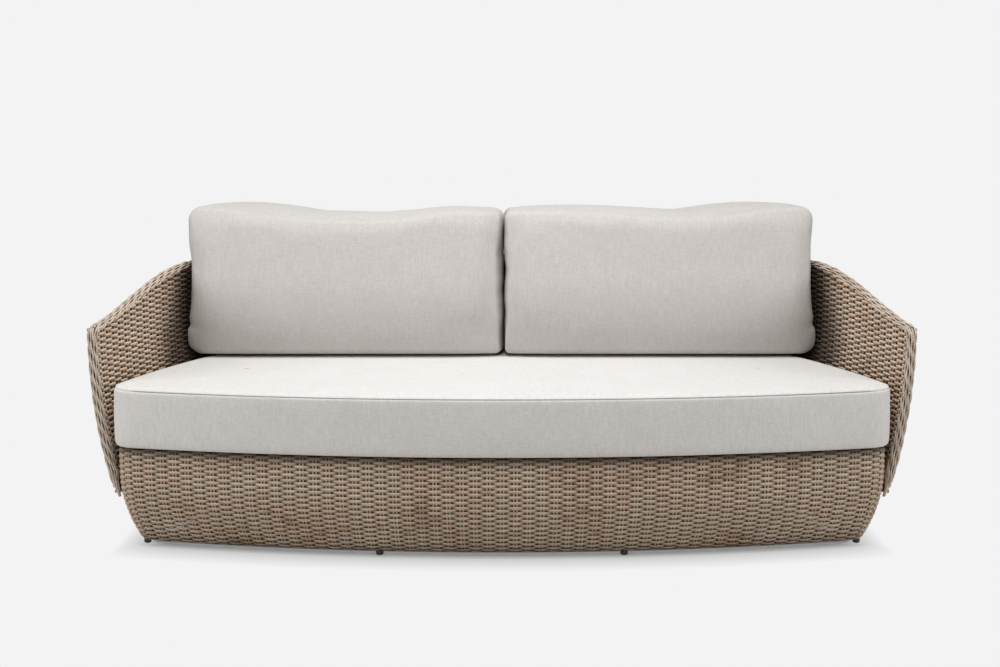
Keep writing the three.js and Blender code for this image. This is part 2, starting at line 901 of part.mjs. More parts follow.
// A flat bar that follows the middle of the shell's wall from the hem wire up to the rim tube
function wallBar(station, steps) {
  const lowZ = hemWireZ + hemWireRadius + clearance;
  const rimLowZ = Math.min(
    rimZ(movedAlong(station, -uprightWidth / 2)),
    rimZ(movedAlong(station, uprightWidth / 2)),
  );
  const highZ = rimLowZ - rimRadius - rimTubeRadius - clearance;
  const rings = [];
  for (let i = 0; i <= steps; i += 1) {
    const z = THREE.MathUtils.lerp(lowZ, highZ, i / steps);
    rings.push(cornerShares.map(([normalShare, travelShare]) => placedBeside(
      station,
      shellMiddle(z),
      z,
      (normalShare * uprightThickness) / 2,
      (travelShare * uprightWidth) / 2,
    )));
  }
  return loft(rings, squareCap);
}

const wallBarSteps = 7;
const armBarStation = movedAlong(armFrontStation, armBarSetback);

// A wall bar with a threaded boss that reaches through the woven skins to the base's top rail
function uprightBar(station) {
  const bossEnd = -topRailOuterInset + clearance;
  const boss = rodOnAxis(
    station, bossEnd, shellMiddle(topRailMiddleZ), topRailMiddleZ, bossRadius,
  );
  const threadRadius = boltShankRadius + clearance;
  const thread = rodOnAxis(
    station, bossEnd - cutOverrun, bossEnd + bossThreadDepth, topRailMiddleZ, threadRadius,
  );
  return cutFrom(joined([wallBar(station, wallBarSteps), boss]), [thread]);
}

function fixingBolt(station) {
  const headFace = -topRailInnerInset - clearance;
  const shankEnd = -topRailOuterInset + bossThreadDepth - clearance;
  const head = rodBetween(
    placedOnAxis(station, headFace - boltHeadHeight, topRailMiddleZ),
    placedOnAxis(station, headFace, topRailMiddleZ),
    boltHeadAcrossCorners / 2,
    boltHeadSides,
  );
  const shank = rodOnAxis(
    station, headFace - boltHeadHeight / 2, shankEnd, topRailMiddleZ, boltShankRadius,
  );
  return joined([head, shank]);
}

// Seat cushion: a boxed cushion with a bulging side, a seam round its top edge and a low crown

const seatCushionBottomZ = seatDeckZ + clearance;
const seatCushionTopZ = seatCushionBottomZ + seatCushionHeight;

function seatRing(outward, z, spineShare) {
  return wholeLoop.map((station) => {
    const edge = placed(station, outward, z);
    const spineX = THREE.MathUtils.clamp(edge.x, -seatSpineHalf, seatSpineHalf);
    return edge.lerp(new THREE.Vector3(spineX, seatSpineY, z), spineShare);
  });
}

function seatCushion() {
  const side = -seatCushionInset;
  const middleZ = (seatCushionBottomZ + seatCushionTopZ) / 2;
  const round = seatCushionBottomRound;
  const lowRound = round * seatBottomRoundShare;
  const drawnIn = side - seatCushionBulge;
  const seamZ = seatCushionTopZ - seatSeamDrop;
  const rings = [
    seatRing(drawnIn - round, seatCushionBottomZ, seatCrownShares.at(-1)[0]),
    seatRing(drawnIn - round, seatCushionBottomZ, 0),
    seatRing(drawnIn - lowRound, seatCushionBottomZ + lowRound, 0),
    seatRing(drawnIn, seatCushionBottomZ + round, 0),
    seatRing(side, middleZ, 0),
    seatRing(drawnIn + seatCushionBulge / 2, seamZ - seatTopRound, 0),
    seatRing(drawnIn, seamZ, 0),
    seatRing(drawnIn - seatSeamInset, seamZ + seatSeamDrop / 2, 0),
  ];
  for (const [spineShare, crownShare] of seatCrownShares) {
    const z = seatCushionTopZ + seatCushionCrown * crownShare;
    rings.push(seatRing(drawnIn - seatTopRound, z, spineShare));
  }
  const flat = rings[0].map((point) => new THREE.Vector2(point.x, point.y));
  return loft(rings.reverse(), capOf(flat));
}

// Back cushions, modelled on the +X side: across is x, up leans back, deep runs from front to rear.
// At every depth the cushion is as wide as the shell leaves room for at the rim, less its end gap.

const backCushionBottomZ = seatCushionTopZ + seatCushionCrown + clearance;
const backUp = new THREE.Vector3(0, Math.sin(backCushionLean), Math.cos(backCushionLean));

function backWidthAt(deep) {
  const rimY = backCushionFrontY + deep
    + (backRimZ - backCushionBottomZ) * Math.tan(backCushionLean);
  return outlineXAt(rimY, shellInner(backRimZ)) - backCushionEndGap - backCushionInnerX;
}

const backWidth = backWidthAt(0);

// Front outline of the cushion in its own plane, from the low inner corner counter-clockwise,
// with soft corners, raised top ends, a sag between them and an outer side that is drawn in at half
// height and bulges low down
function backOutline() {
  const corners = [
    { x: 0, y: 0, radius: backInnerCornerRadius },
    { x: backWidth, y: 0, radius: backLowCornerRadius },
    { x: backWidth, y: backCushionHeight, radius: backTopCornerRadius },
    { x: 0, y: backCushionHeight, radius: backInnerCornerRadius },
  ];
  const points = [];
  const cornerSteps = 2;
  const levelSteps = 7;
  const uprightSteps = 4;
  corners.forEach((corner, index) => {
    const inwardX = corner.x === 0 ? 1 : -1;
    const inwardY = corner.y === 0 ? 1 : -1;
    const centreX = corner.x + inwardX * corner.radius;
    const centreY = corner.y + inwardY * corner.radius;
    for (let i = 0; i <= cornerSteps; i += 1) {
      const angle = (index / 2 + i / (cornerSteps * 2) - 1) * Math.PI;
      points.push(new THREE.Vector2(
        centreX + corner.radius * Math.cos(angle),
        centreY + corner.radius * Math.sin(angle),
      ));
    }
    const next = corners[(index + 1) % corners.length];
    const last = points.at(-1);
    const isLevel = corner.y === next.y;
    const target = isLevel
      ? new THREE.Vector2(next.x + Math.sign(corner.x - next.x) * next.radius, next.y)
      : new THREE.Vector2(next.x, next.y + Math.sign(corner.y - next.y) * next.radius);
    const steps = isLevel ? levelSteps : uprightSteps;
    for (let i = 1; i < steps; i += 1) {
      points.push(last.clone().lerp(target, i / steps));
    }
  });
  return points.map((point) => {
    const acrossShare = point.x / backWidth;
    const upShare = point.y / backCushionHeight;
    const topShare = THREE.MathUtils.smoothstep(upShare, 0.6, 1);
    const sag = Math.sin(Math.PI * acrossShare) ** 2;
    const ear = Math.sin(2 * Math.PI * acrossShare) ** 2 * (1 - sag);
    const lift = topShare * (backTopEarRise * ear - backTopSag * sag);
    const nearOuterShare = Math.max(2 * acrossShare - 1, 0) ** 8;
    const drawIn = backSideDrawIn * Math.sin(Math.PI * upShare) * nearOuterShare;
    const bulge = backLowBulge * (1 - upShare) ** 2 * nearOuterShare;
    return new THREE.Vector2(point.x - drawIn + bulge, point.y + lift);
  });
}

// The outline moved inward and back, and drawn in towards the middle line by the spine share
function backRing(outline, inset, deep, spineShare) {
  const spineHalf = (backWidth - backCushionHeight) / 2;
  return outline.map((point) => {
    const innerInset = inset * backInnerInsetShare;
    const fromMiddle = new THREE.Vector2(
      innerInset + point.x * (1 - (inset + innerInset) / backWidth) - backWidth / 2,
      (point.y - backCushionHeight / 2) * (1 - (2 * inset) / backCushionHeight),
    );
    const spineX = THREE.MathUtils.clamp(fromMiddle.x, -spineHalf, spineHalf);
    fromMiddle.lerp(new THREE.Vector2(spineX, 0), spineShare);
    const spot = new THREE.Vector3(0, backCushionFrontY + deep, backCushionBottomZ);
    spot.addScaledVector(backUp, fromMiddle.y + backCushionHeight / 2);
    const acrossShare = fromMiddle.x / backWidth + 0.5;
    spot.x = backCushionInnerX + backWidthAt(Math.max(deep, 0)) * acrossShare;
    return spot;
  });
}

function backCushion(side) {
  const outline = backOutline();
  const depth = backCushionDepth;
  const front = backCushionEdgeRound;
  const rear = backCushionRearRound;
  const crownRings = backCrownShares.map(([spineShare, crownShare]) => backRing(
    outline, front, -backCushionCrown * crownShare, spineShare,
  ));
  const roundShares = [[0.55, 0.1], [0.12, 0.75]];
  const rearRoundShares = [[0.12, 0.9], [0.5, 0.32]];
  const rings = [
    ...crownRings,
    ...roundShares.map(([insetShare, deepShare]) => backRing(
      outline, front * insetShare, front * deepShare, 0,
    )),
    backRing(outline, 0, (front + depth - rear) / 2, 0),
    ...rearRoundShares.map(([insetShare, deepShare]) => backRing(
      outline, rear * insetShare, depth - rear * deepShare, 0,
    )),
    backRing(outline, rear, depth, 0),
    backRing(outline, rear, depth + backCushionRearCrown, backCrownShares[0][0]),
  ];
  const placedRings = side > 0 ? rings : mirroredRings(rings);
  const flat = placedRings[0].map((point) => new THREE.Vector2(point.x, point.z));
  return loft(placedRings, capOf(flat));
}

// Assembly

const strandFinish = finish(strandBrown, 0.75, 0);
const bindingFinish = finish(bindingBrown, 0.75, 0);
const tubeFinish = finish(tubeGrey, 0.5, 0.6);
const boltFinish = finish(steelGrey, 0.35, 0.9);
const footFinish = finish(footBlack, 0.7, 0);
const seatFinish = finish(seatCloth, 0.95, 0);
const backFinish = finish(backCloth, 0.95, 0);

addPiece('base_wicker', baseWicker(), strandFinish);
addPiece('base_top_rail_front', topRail(frontRailPath), tubeFinish);
addPiece('base_top_rail_rear', topRail(rearRailPath), tubeFinish);
addPiece('base_bottom_rail_front', bottomRail(frontRailPath), tubeFinish);
addPiece('base_bottom_rail_rear', bottomRail(rearRailPath), tubeFinish);

allFootStations.forEach((station, index) => {
  addPiece(`base_post_${index + 1}`, basePost(station), tubeFinish);
});

[-bearerOuterX, -bearerInnerX, bearerInnerX, bearerOuterX].forEach((x, index) => {
  addPiece(`seat_bearer_${index + 1}`, bearer(x), tubeFinish);
});

for (let i = 0; i < slatCount; i += 1) {
  const y = -slatReach + (2 * slatReach * i) / (slatCount - 1);
  addPiece(`seat_slat_${i + 1}`, slat(y), tubeFinish);
}

allFootStations.forEach((station, index) => {
  const mesh = addPiece(`foot_${index + 1}`, foot(), footFinish);
  mesh.position.copy(placed(station, -bottomRailInset, 0));
});

addPiece('shell_wicker', shellWicker(), strandFinish);
addPiece('arm_binding_right', armBinding(1), bindingFinish);
addPiece('arm_binding_left', armBinding(-1), bindingFinish);
addPiece('shell_rim_tube', rimTube(), tubeFinish);
addPiece('shell_hem_wire', hemWire(), tubeFinish);
addPiece('arm_bar_right', wallBar(armBarStation, wallBarSteps), tubeFinish);
addPiece('arm_bar_left', wallBar(mirrored(armBarStation), wallBarSteps), tubeFinish);

allFixingStations.forEach((station, index) => {
  addPiece(`shell_upright_${index + 1}`, uprightBar(station), tubeFinish);
  addPiece(`shell_bolt_${index + 1}`, fixingBolt(station), boltFinish);
});

addPiece('seat_cushion', seatCushion(), seatFinish);
addPiece('back_cushion_right', backCushion(1), backFinish);
addPiece('back_cushion_left', backCushion(-1), backFinish);

export default sofa;
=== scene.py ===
# %% [markdown]
# # A woven garden sofa, dressed in Blender
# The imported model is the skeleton: its pieces never move. This lesson makes what a camera sees of
# the sofa: a strand weave that follows the tub and the shell, a plaited rim, sewn cushions that a
# cloth simulation fills, and a finish for each metal and plastic piece.

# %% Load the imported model
import math

import bmesh
import bpy
import numpy as np
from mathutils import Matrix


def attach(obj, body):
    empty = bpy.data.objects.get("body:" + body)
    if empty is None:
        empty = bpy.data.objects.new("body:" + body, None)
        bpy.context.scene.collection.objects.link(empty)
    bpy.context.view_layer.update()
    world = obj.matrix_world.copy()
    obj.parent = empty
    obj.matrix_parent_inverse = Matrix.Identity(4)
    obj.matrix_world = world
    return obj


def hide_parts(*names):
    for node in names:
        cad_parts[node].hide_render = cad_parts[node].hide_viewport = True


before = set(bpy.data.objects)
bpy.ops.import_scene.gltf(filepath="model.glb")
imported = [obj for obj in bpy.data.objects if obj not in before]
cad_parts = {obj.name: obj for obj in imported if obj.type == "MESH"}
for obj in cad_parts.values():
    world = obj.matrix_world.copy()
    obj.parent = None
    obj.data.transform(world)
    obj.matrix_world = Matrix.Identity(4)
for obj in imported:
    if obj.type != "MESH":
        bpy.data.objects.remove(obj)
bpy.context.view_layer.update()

print("pieces in the frame:", len(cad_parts))

# %% [markdown]
# ## Camera
# The picture was taken with a longish lens, 4.5 m in front and a little higher than the sofa.
# A lens of 58.25 mm on a 36 mm sensor gives 1618 pixels of focal length on a picture 1000 wide.
# The camera could be aimed with a constraint, but one fixed tilt is easier to read and repeat.

# %% Camera
CAMERA_PLACE = (0.0, -4.497, 1.173)
CAMERA_TILT_DOWN = 8.143

camera_data = bpy.data.cameras.new("front_camera")
camera_data.lens = 58.25
camera_data.sensor_width = 36.0
camera_data.shift_x = -0.002
camera = bpy.data.objects.new("front_camera", camera_data)
camera.location = CAMERA_PLACE
camera.rotation_euler = (math.radians(90 - CAMERA_TILT_DOWN), 0, 0)
bpy.context.collection.objects.link(camera)
bpy.context.scene.camera = camera
bpy.context.scene.view_settings.view_transform = "Standard"
print("camera at", CAMERA_PLACE)

# %% [markdown]
# ## Small helpers
# Blender mixes light in linear numbers, while colours are picked on a screen as sRGB hex values,
# so one function turns the one into the other. A second function adds a node with its settings
# and links, which keeps a long node tree readable. The others make a mesh object from arrays and
# empty a node tree.

# %% Helpers for colours, nodes and meshes


def linear(hex_colour):
    """An sRGB hex colour as a linear RGBA tuple."""
    channels = [int(hex_colour[i:i + 2], 16) / 255 for i in (0, 2, 4)]
    return tuple(
        c / 12.92 if c <= 0.04045 else ((c + 0.055) / 1.055) ** 2.4 for c in channels
    ) + (1.0,)


def add(tree, kind, inputs=None, **settings):
    """Adds a node. An input is a plain value, a socket to link from, or another node, which
    stands for its first output."""
    made = tree.nodes.new(kind)
    for key, value in settings.items():
        setattr(made, key, value)
    for key, value in (inputs or {}).items():
        if isinstance(value, bpy.types.Node):
            value = value.outputs[0]
        if isinstance(value, bpy.types.NodeSocket):
            tree.links.new(value, made.inputs[key])
        else:
            made.inputs[key].default_value = value
    return made


def mesh_object(name, points, faces):
    """A new object at the origin with these points and faces."""
    mesh = bpy.data.meshes.new(name)
    mesh.from_pydata([tuple(p) for p in points], [], [tuple(f) for f in faces])
    made = bpy.data.objects.new(name, mesh)
    bpy.context.collection.objects.link(made)
    return made


def clear_tree(owner):
    """The node tree of a material or a world, emptied."""
    owner.use_nodes = True
    owner.node_tree.nodes.clear()
    return owner.node_tree


print("helpers ready, white is", linear("ffffff"))

# %% [markdown]
# ## Floor, background and light
# The sofa stands in a bright studio where floor and wall are one pale grey. The camera sees that
# grey as it is, and every other ray sees a pale matt floor, which throws light back up. The grey
# is dimmed close to the sofa: that is the soft shadow that holds it to the floor. A shadow from
# the lamps alone would do too, but this one keeps the background even right up to it. A wide lamp
# overhead, one on each side, a weak one behind and a dim world light the sofa at a plain level.

# %% Studio floor
FLOOR_HALF = 7.0
floor = mesh_object(
    "studio_floor",
    [(-FLOOR_HALF, -FLOOR_HALF, 0), (FLOOR_HALF, -FLOOR_HALF, 0),
     (FLOOR_HALF, FLOOR_HALF, 0), (-FLOOR_HALF, FLOOR_HALF, 0)],
    [(0, 1, 2, 3)],
)
print("floor is", 2 * FLOOR_HALF, "m wide")

# %% Floor finish
STUDIO_GREY = "f3f3f3"
FLOOR_BOUNCE = "ccc9c5"
SHADE_REACH, SHADE_POWER = 0.13, 0.66
CONTACT_REACH, CONTACT_POWER = 0.03, 0.6
SHADOW_ENDS = (0.87, 1.03)
# where the floor is seen through the weave: its half width and the slant of its ends, its rear
# edge, its cut-off corners, and the centre and radius of its bowed front
UNDER_TUB_SIDE = 0.862
UNDER_TUB_SLANT = 0.27
UNDER_TUB_REAR = 0.335
UNDER_TUB_CORNER = 1.04
FRONT_BOW_CENTRE = 3.427
UNDER_TUB_BOW = 3.799


def shows_background(tree):
    """1 for the rays that should see the plain background: camera, glossy and see-through ones."""
    path = add(tree, "ShaderNodeLightPath")
    first = add(tree, "ShaderNodeMath", {0: path.outputs["Is Camera Ray"],
                                         1: path.outputs["Is Glossy Ray"]}, operation="MAXIMUM")
    return add(tree, "ShaderNodeMath",
               {0: first, 1: path.outputs["Is Transmission Ray"]}, operation="MAXIMUM")


floor_finish = bpy.data.materials.new("painted_studio_floor")
tree = clear_tree(floor_finish)
near_curve = 1.0
for shade_reach, power in ((SHADE_REACH, SHADE_POWER), (CONTACT_REACH, CONTACT_POWER)):
    near = add(tree, "ShaderNodeAmbientOcclusion", {"Distance": shade_reach}, samples=16)
    curve = add(tree, "ShaderNodeMath", {0: near.outputs["AO"], 1: power}, operation="POWER")
    near_curve = add(tree, "ShaderNodeMath", {0: near_curve, 1: curve}, operation="MULTIPLY")
spot = add(tree, "ShaderNodeTexCoord").outputs["Object"]
axes = add(tree, "ShaderNodeSeparateXYZ", {0: spot})
sideways = add(tree, "ShaderNodeMath", {0: axes.outputs["X"]}, operation="ABSOLUTE")
# past the tub's ends the shadow thins out
thinning = add(tree, "ShaderNodeMapRange",
               {"Value": sideways, "From Min": SHADOW_ENDS[0], "From Max": SHADOW_ENDS[1]})
lit_share = add(tree, "ShaderNodeMath", {0: near_curve, 1: thinning}, operation="MAXIMUM")
grey = add(tree, "ShaderNodeMixRGB",
           {"Fac": lit_share, "Color1": linear("5a5957"), "Color2": linear(STUDIO_GREY)})
shown = add(tree, "ShaderNodeEmission", {"Color": grey, "Strength": 1.0})
lit = add(tree, "ShaderNodeBsdfDiffuse", {"Color": linear(FLOOR_BOUNCE)})
# under the tub the floor is seen by the little light that gets in, not as the open studio
slanted = add(tree, "ShaderNodeMath",
              {0: axes.outputs["Y"], 1: UNDER_TUB_SLANT, 2: sideways}, operation="MULTIPLY_ADD")
diagonal = add(tree, "ShaderNodeMath", {0: sideways, 1: axes.outputs["Y"]})
from_bow = add(tree, "ShaderNodeVectorMath",
               {0: spot, 1: (0.0, FRONT_BOW_CENTRE, 0.0)}, operation="DISTANCE")
outside = -1.0
for measure, limit in ((slanted, UNDER_TUB_SIDE), (axes.outputs["Y"], UNDER_TUB_REAR),
                       (diagonal, UNDER_TUB_CORNER), (from_bow.outputs["Value"], UNDER_TUB_BOW)):
    past = add(tree, "ShaderNodeMath", {0: measure, 1: limit}, operation="SUBTRACT")
    outside = add(tree, "ShaderNodeMath", {0: outside, 1: past}, operation="MAXIMUM")
open_floor = add(tree, "ShaderNodeMapRange",
                 {"Value": outside, "From Min": -0.012, "From Max": 0.012})
plain = add(tree, "ShaderNodeMath",
            {0: shows_background(tree), 1: open_floor}, operation="MULTIPLY")
mixed = add(tree, "ShaderNodeMixShader", {0: plain, 1: lit, 2: shown})
add(tree, "ShaderNodeOutputMaterial", {"Surface": mixed})
floor.data.materials.append(floor_finish)
print("floor finish has", len(tree.nodes), "nodes")

# %% World
world = bpy.data.worlds.new("studio")
bpy.context.scene.world = world
tree = clear_tree(world)
seen = add(tree, "ShaderNodeBackground", {"Color": linear(STUDIO_GREY), "Strength": 1.0})
felt = add(tree, "ShaderNodeBackground", {"Color": linear("ffffff"), "Strength": 0.22})
mixed = add(tree, "ShaderNodeMixShader", {0: shows_background(tree), 1: felt, 2: seen})
add(tree, "ShaderNodeOutputWorld", {"Surface": mixed})
print("world has", len(tree.nodes), "nodes")

# %% Lamps


def area_lamp(name, place, target, size, watts):
    """A rectangular lamp that faces a target point."""
    data = bpy.data.lights.new(name, "AREA")
    data.shape = "RECTANGLE"
    data.size, data.size_y = size
    data.energy = watts
    lamp = bpy.data.objects.new(name, data)
    lamp.location = place
    aim = np.array(target) - np.array(place)
    flat = math.hypot(aim[0], aim[1])
    lamp.rotation_euler = (math.atan2(flat, -aim[2]), 0, math.atan2(aim[1], aim[0]) - math.pi / 2)
    bpy.context.collection.objects.link(lamp)


area_lamp("overhead_lamp", (-0.10, -0.78, 3.1), (0, -0.1, 0.4), (2.1, 1.5), 74)
area_lamp("left_lamp", (-3.4, -1.5, 1.5), (-0.5, 0, 0.4), (1.6, 1.6), 40)
area_lamp("right_lamp", (3.4, -1.5, 1.5), (0.5, 0, 0.4), (1.6, 1.6), 37)
area_lamp("rear_lamp", (0, 3.2, 0.9), (0, 0.4, 0.4), (2.6, 0.9), 20)

# %% [markdown]
# ## The plan of the sofa
# Seen from above, the sofa is four arcs on each side and a straight back: a bowed front, a small
# front corner, a side that bows in, and a rear corner. The tub and the shell are this one outline
# at other distances outward. A spline could be drawn instead, but arcs with real radii match the
# frame to a fraction of a millimetre. Lengths are in metres from here on.

# %% Plan outline
SEAT_HALF_WIDTH = 1.031
FRONT_REACH = 0.473
REAR_REACH = 0.405
FRONT_BOW_RADIUS = 3.9
FRONT_CORNER_RADIUS = 0.080
SIDE_BOW_RADIUS = 2.6
REAR_CORNER_RADIUS = 0.200
PARALLEL_DEPTH = 0.024
CORNER_SHRINK = 0.6
SIDE_START = math.radians(13)


def outline_arcs(out):
    """Centre, radius and angles of the right half's four arcs, moved outward by out (an array)."""
    near_out = np.maximum(out, -PARALLEL_DEPTH)
    front = FRONT_BOW_RADIUS + out
    corner = FRONT_CORNER_RADIUS + near_out + (out - near_out) * CORNER_SHRINK
    side = SIDE_BOW_RADIUS + out
    rear = REAR_CORNER_RADIUS + out
    turn = np.arcsin((SEAT_HALF_WIDTH + out - corner) / (front - corner))
    front_y = FRONT_BOW_RADIUS - FRONT_REACH
    corner_x = (front - corner) * np.sin(turn)
    corner_y = front_y - (front - corner) * np.cos(turn)
    side_x = corner_x - (side - corner) * math.cos(SIDE_START)
    side_y = corner_y - (side - corner) * math.sin(SIDE_START)
    last = np.arcsin((REAR_REACH + out - rear - side_y) / (side - rear))
    rear_x = side_x + (side - rear) * np.cos(last)
    rear_y = REAR_REACH + out - rear
    down = np.full_like(turn, -math.pi / 2)
    start = np.full_like(turn, SIDE_START)
    up = np.full_like(turn, math.pi / 2)
    return [
        (np.zeros_like(turn), np.full_like(turn, front_y), front, down, down + turn),
        (corner_x, corner_y, corner, down + turn, start),
        (side_x, side_y, side, start, last),
        (rear_x, rear_y, rear, last, up),
    ]


edge_arcs = outline_arcs(np.zeros(1))
ARC_LENGTHS = [float((r * (b - a))[0]) for _, _, r, a, b in edge_arcs]
ARC_LENGTHS.append(float(edge_arcs[3][0][0]))
ARC_STARTS = np.concatenate([[0.0], np.cumsum(ARC_LENGTHS)])
HALF_LOOP = float(ARC_STARTS[-1])
SIDE_BEGIN = float(ARC_STARTS[2])
print("half of the outline is", round(HALF_LOOP, 3), "m long")

# %% Points on the plan


def on_plan(run, out, straight_front=False):
    """Place and outward normal at a run from the front's middle (minus is left), moved outward.
    With straight_front the side goes on straight before its own start, as the arm's front does."""
    run, out = np.broadcast_arrays(np.asarray(run, float), np.asarray(out, float))
    sign = np.where(run < 0, -1.0, 1.0)
    way = np.abs(run)
    arcs = outline_arcs(out)
    extra = np.zeros_like(way)
    if straight_front:
        extra = np.minimum(way - SIDE_BEGIN, 0)
        way = np.maximum(way, SIDE_BEGIN)
    which = np.clip(np.searchsorted(ARC_STARTS, way, side="right") - 1, 0, 4)
    x, y = np.zeros_like(way), np.zeros_like(way)
    nx, ny = np.zeros_like(way), np.zeros_like(way)
    for i, (cx, cy, radius, first, last) in enumerate(arcs):
        on = which == i
        angle = first + (last - first) * (way - ARC_STARTS[i]) / ARC_LENGTHS[i]
        x = np.where(on, cx + radius * np.cos(angle) - extra * np.sin(angle), x)
        y = np.where(on, cy + radius * np.sin(angle) + extra * np.cos(angle), y)
        nx = np.where(on, np.cos(angle), nx)
        ny = np.where(on, np.sin(angle), ny)
    straight = which == 4
    share = (way - ARC_STARTS[4]) / ARC_LENGTHS[4]
    x = np.where(straight, arcs[3][0] * (1 - share), x)
    y = np.where(straight, REAR_REACH + out, y)
    ny = np.where(straight, 1.0, ny)
    return np.stack([sign * x, y], -1), np.stack([sign * nx, ny], -1)


print("rear corner passes", on_plan([ARC_STARTS[3]], [0.0])[0])

# %% [markdown]
# ## The walls
# The tub's wall leans in towards the floor and rolls over under the cushion. The shell's two faces
# flare outward as they rise, and its rim climbs from the arm tips to the back. Both are written as
# distances outward of the plan at a height, the same rules as the solid model uses.

# %% Tub and shell faces
BASE_BOTTOM = 0.011
BASE_UPRIGHT = 0.200
DECK = 0.2767
BASE_TOP_INSET = 0.012
BASE_LEAN_IN = 0.053
BASE_TOP_ROUND = 0.014
SHELL_BOTTOM = 0.137
ARM_TIP = 0.590
BACK_RIM = 0.712
RIM_RADIUS = 0.015
RISE_START = -0.300
RISE_END = 0.224
SHELL_FLARE = 0.066
SHELL_WALL = 0.030
ARM_LEAD = 0.020


def base_inset(z):
    drop = np.maximum(BASE_UPRIGHT - z, 0) / (BASE_UPRIGHT - BASE_BOTTOM)
    return BASE_TOP_INSET + BASE_LEAN_IN * drop ** 2


def shell_outer(z):
    drop = np.maximum(ARM_TIP - z, 0) / (ARM_TIP - SHELL_BOTTOM)
    return SHELL_FLARE - SHELL_FLARE * drop ** 2.3


def shell_inner(z):
    return np.maximum(shell_outer(z) - SHELL_WALL, 0.0015 - base_inset(z))


def smooth_step(value, low, high):
    share = np.clip((value - low) / (high - low), 0, 1)
    return share * share * (3 - 2 * share)


def arch_height(run):
    """Height of the middle of the rim's half-round at a run along the plan."""
    place, _ = on_plan(run, 0.0, straight_front=True)
    rise = smooth_step(place[..., 1], RISE_START, RISE_END)
    return ARM_TIP + (BACK_RIM - ARM_TIP) * rise - RIM_RADIUS


ARM_FRONT = SIDE_BEGIN - ARM_LEAD
arch_runs = np.linspace(ARM_FRONT, HALF_LOOP, 400)
arch_levels = arch_height(arch_runs)
print("arch from", arch_levels[0], "to", arch_levels[-1])

# %% [markdown]
# ## Weave, as guide lines
# Woven wicker is a set of upright stakes with level strands that pass in front of one stake and
# behind the next, and each row does the opposite of the row below. Thousands of strands could be
# modelled one by one, or faked with a picture, but the shadows in the small holes are what makes
# wicker look deep. So Python lays one thin guide line per row, with how far each point is in front
# of or behind the stakes, and Geometry Nodes turns every guide into a real strand.

# %% Guide lines


def weave_wave(phase):
    """How far a strand is in front (1) or behind (-1): a cosine with flattened tops."""
    wave = np.cos(phase)
    return wave * (1.5 - 0.5 * wave * wave)


def guide_object(name, lines):
    """One mesh of open guide lines. Each line: points, outward vectors, over, tone, run and painted
    shade.
    """
    points = np.concatenate([line["points"] for line in lines])
    counts = [len(line["points"]) for line in lines]
    starts = np.concatenate([[0], np.cumsum(counts)[:-1]])
    edges = np.concatenate([
        np.stack([np.arange(n - 1), np.arange(1, n)], 1) + start for n, start in zip(counts, starts)
    ])
    mesh = bpy.data.meshes.new(name)
    mesh.vertices.add(len(points))
    mesh.vertices.foreach_set("co", points.astype(np.float32).ravel())
    mesh.edges.add(len(edges))
    mesh.edges.foreach_set("vertices", edges.astype(np.int32).ravel())
    vectors = mesh.attributes.new("outward", "FLOAT_VECTOR", "POINT")
    outward = np.concatenate([line["outward"] for line in lines])
    vectors.data.foreach_set("vector", outward.astype(np.float32).ravel())
    for key in ("over", "tone", "run", "dust"):
        values = [np.broadcast_to(line.get(key, 0.0), (n,)) for line, n in zip(lines, counts)]
        spot = mesh.attributes.new(key, "FLOAT", "POINT")
        spot.data.foreach_set("value", np.concatenate(values).astype(np.float32))
    mesh.update()
    made = bpy.data.objects.new(name, mesh)
    bpy.context.collection.objects.link(made)
    return made


def wall_line(run, out, z, normal_out, normal_up, over, tone, straight_front=False, dust=None):
    """A guide line on a wall, from runs along the plan and the wall's own section normal."""
    place, normal = on_plan(run, out, straight_front)
    z = np.broadcast_to(np.asarray(z, float), place.shape[:1])
    points = np.column_stack([place, z])
    outward = np.column_stack([
        normal * np.reshape(normal_out, (-1, 1)),
        np.broadcast_to(np.asarray(normal_up, float), place.shape[:1]),
    ])
    return {"points": points, "outward": outward, "over": over, "tone": tone, "run": np.abs(run),
            "dust": 0.0 if dust is None else dust(place, z)}


print("a wave passes", [round(float(weave_wave(a)), 2) for a in (0, 0.8, 1.57, 3.14)])

# %% [markdown]
# ## A node tree that makes strands
# The tree pushes each guide point out or in by the wave, roughens the line a little as hand
# weaving does, turns it into a curve whose normal is the wall's outward direction, and sweeps a
# flattened ring along it, a bit thinner where the strand passes between the stakes. Its sizes are
# named inputs, so that the tub, the shell and the rim share it.

# %% Strand tree
tree = strand_tree = bpy.data.node_groups.new("woven_strands", "GeometryNodeTree")
interface = tree.interface
interface.new_socket("Geometry", in_out="INPUT", socket_type="NodeSocketGeometry")
for socket_name, kind in [
    ("Wave Depth", "NodeSocketFloat"), ("Thickness", "NodeSocketFloat"),
    ("Height", "NodeSocketFloat"), ("Pinch", "NodeSocketFloat"), ("Sides", "NodeSocketInt"),
    ("Unevenness", "NodeSocketFloat"), ("Seed", "NodeSocketFloat"),
    ("Material", "NodeSocketMaterial"),
]:
    interface.new_socket(socket_name, in_out="INPUT", socket_type=kind)
interface.new_socket("Geometry", in_out="OUTPUT", socket_type="NodeSocketGeometry")

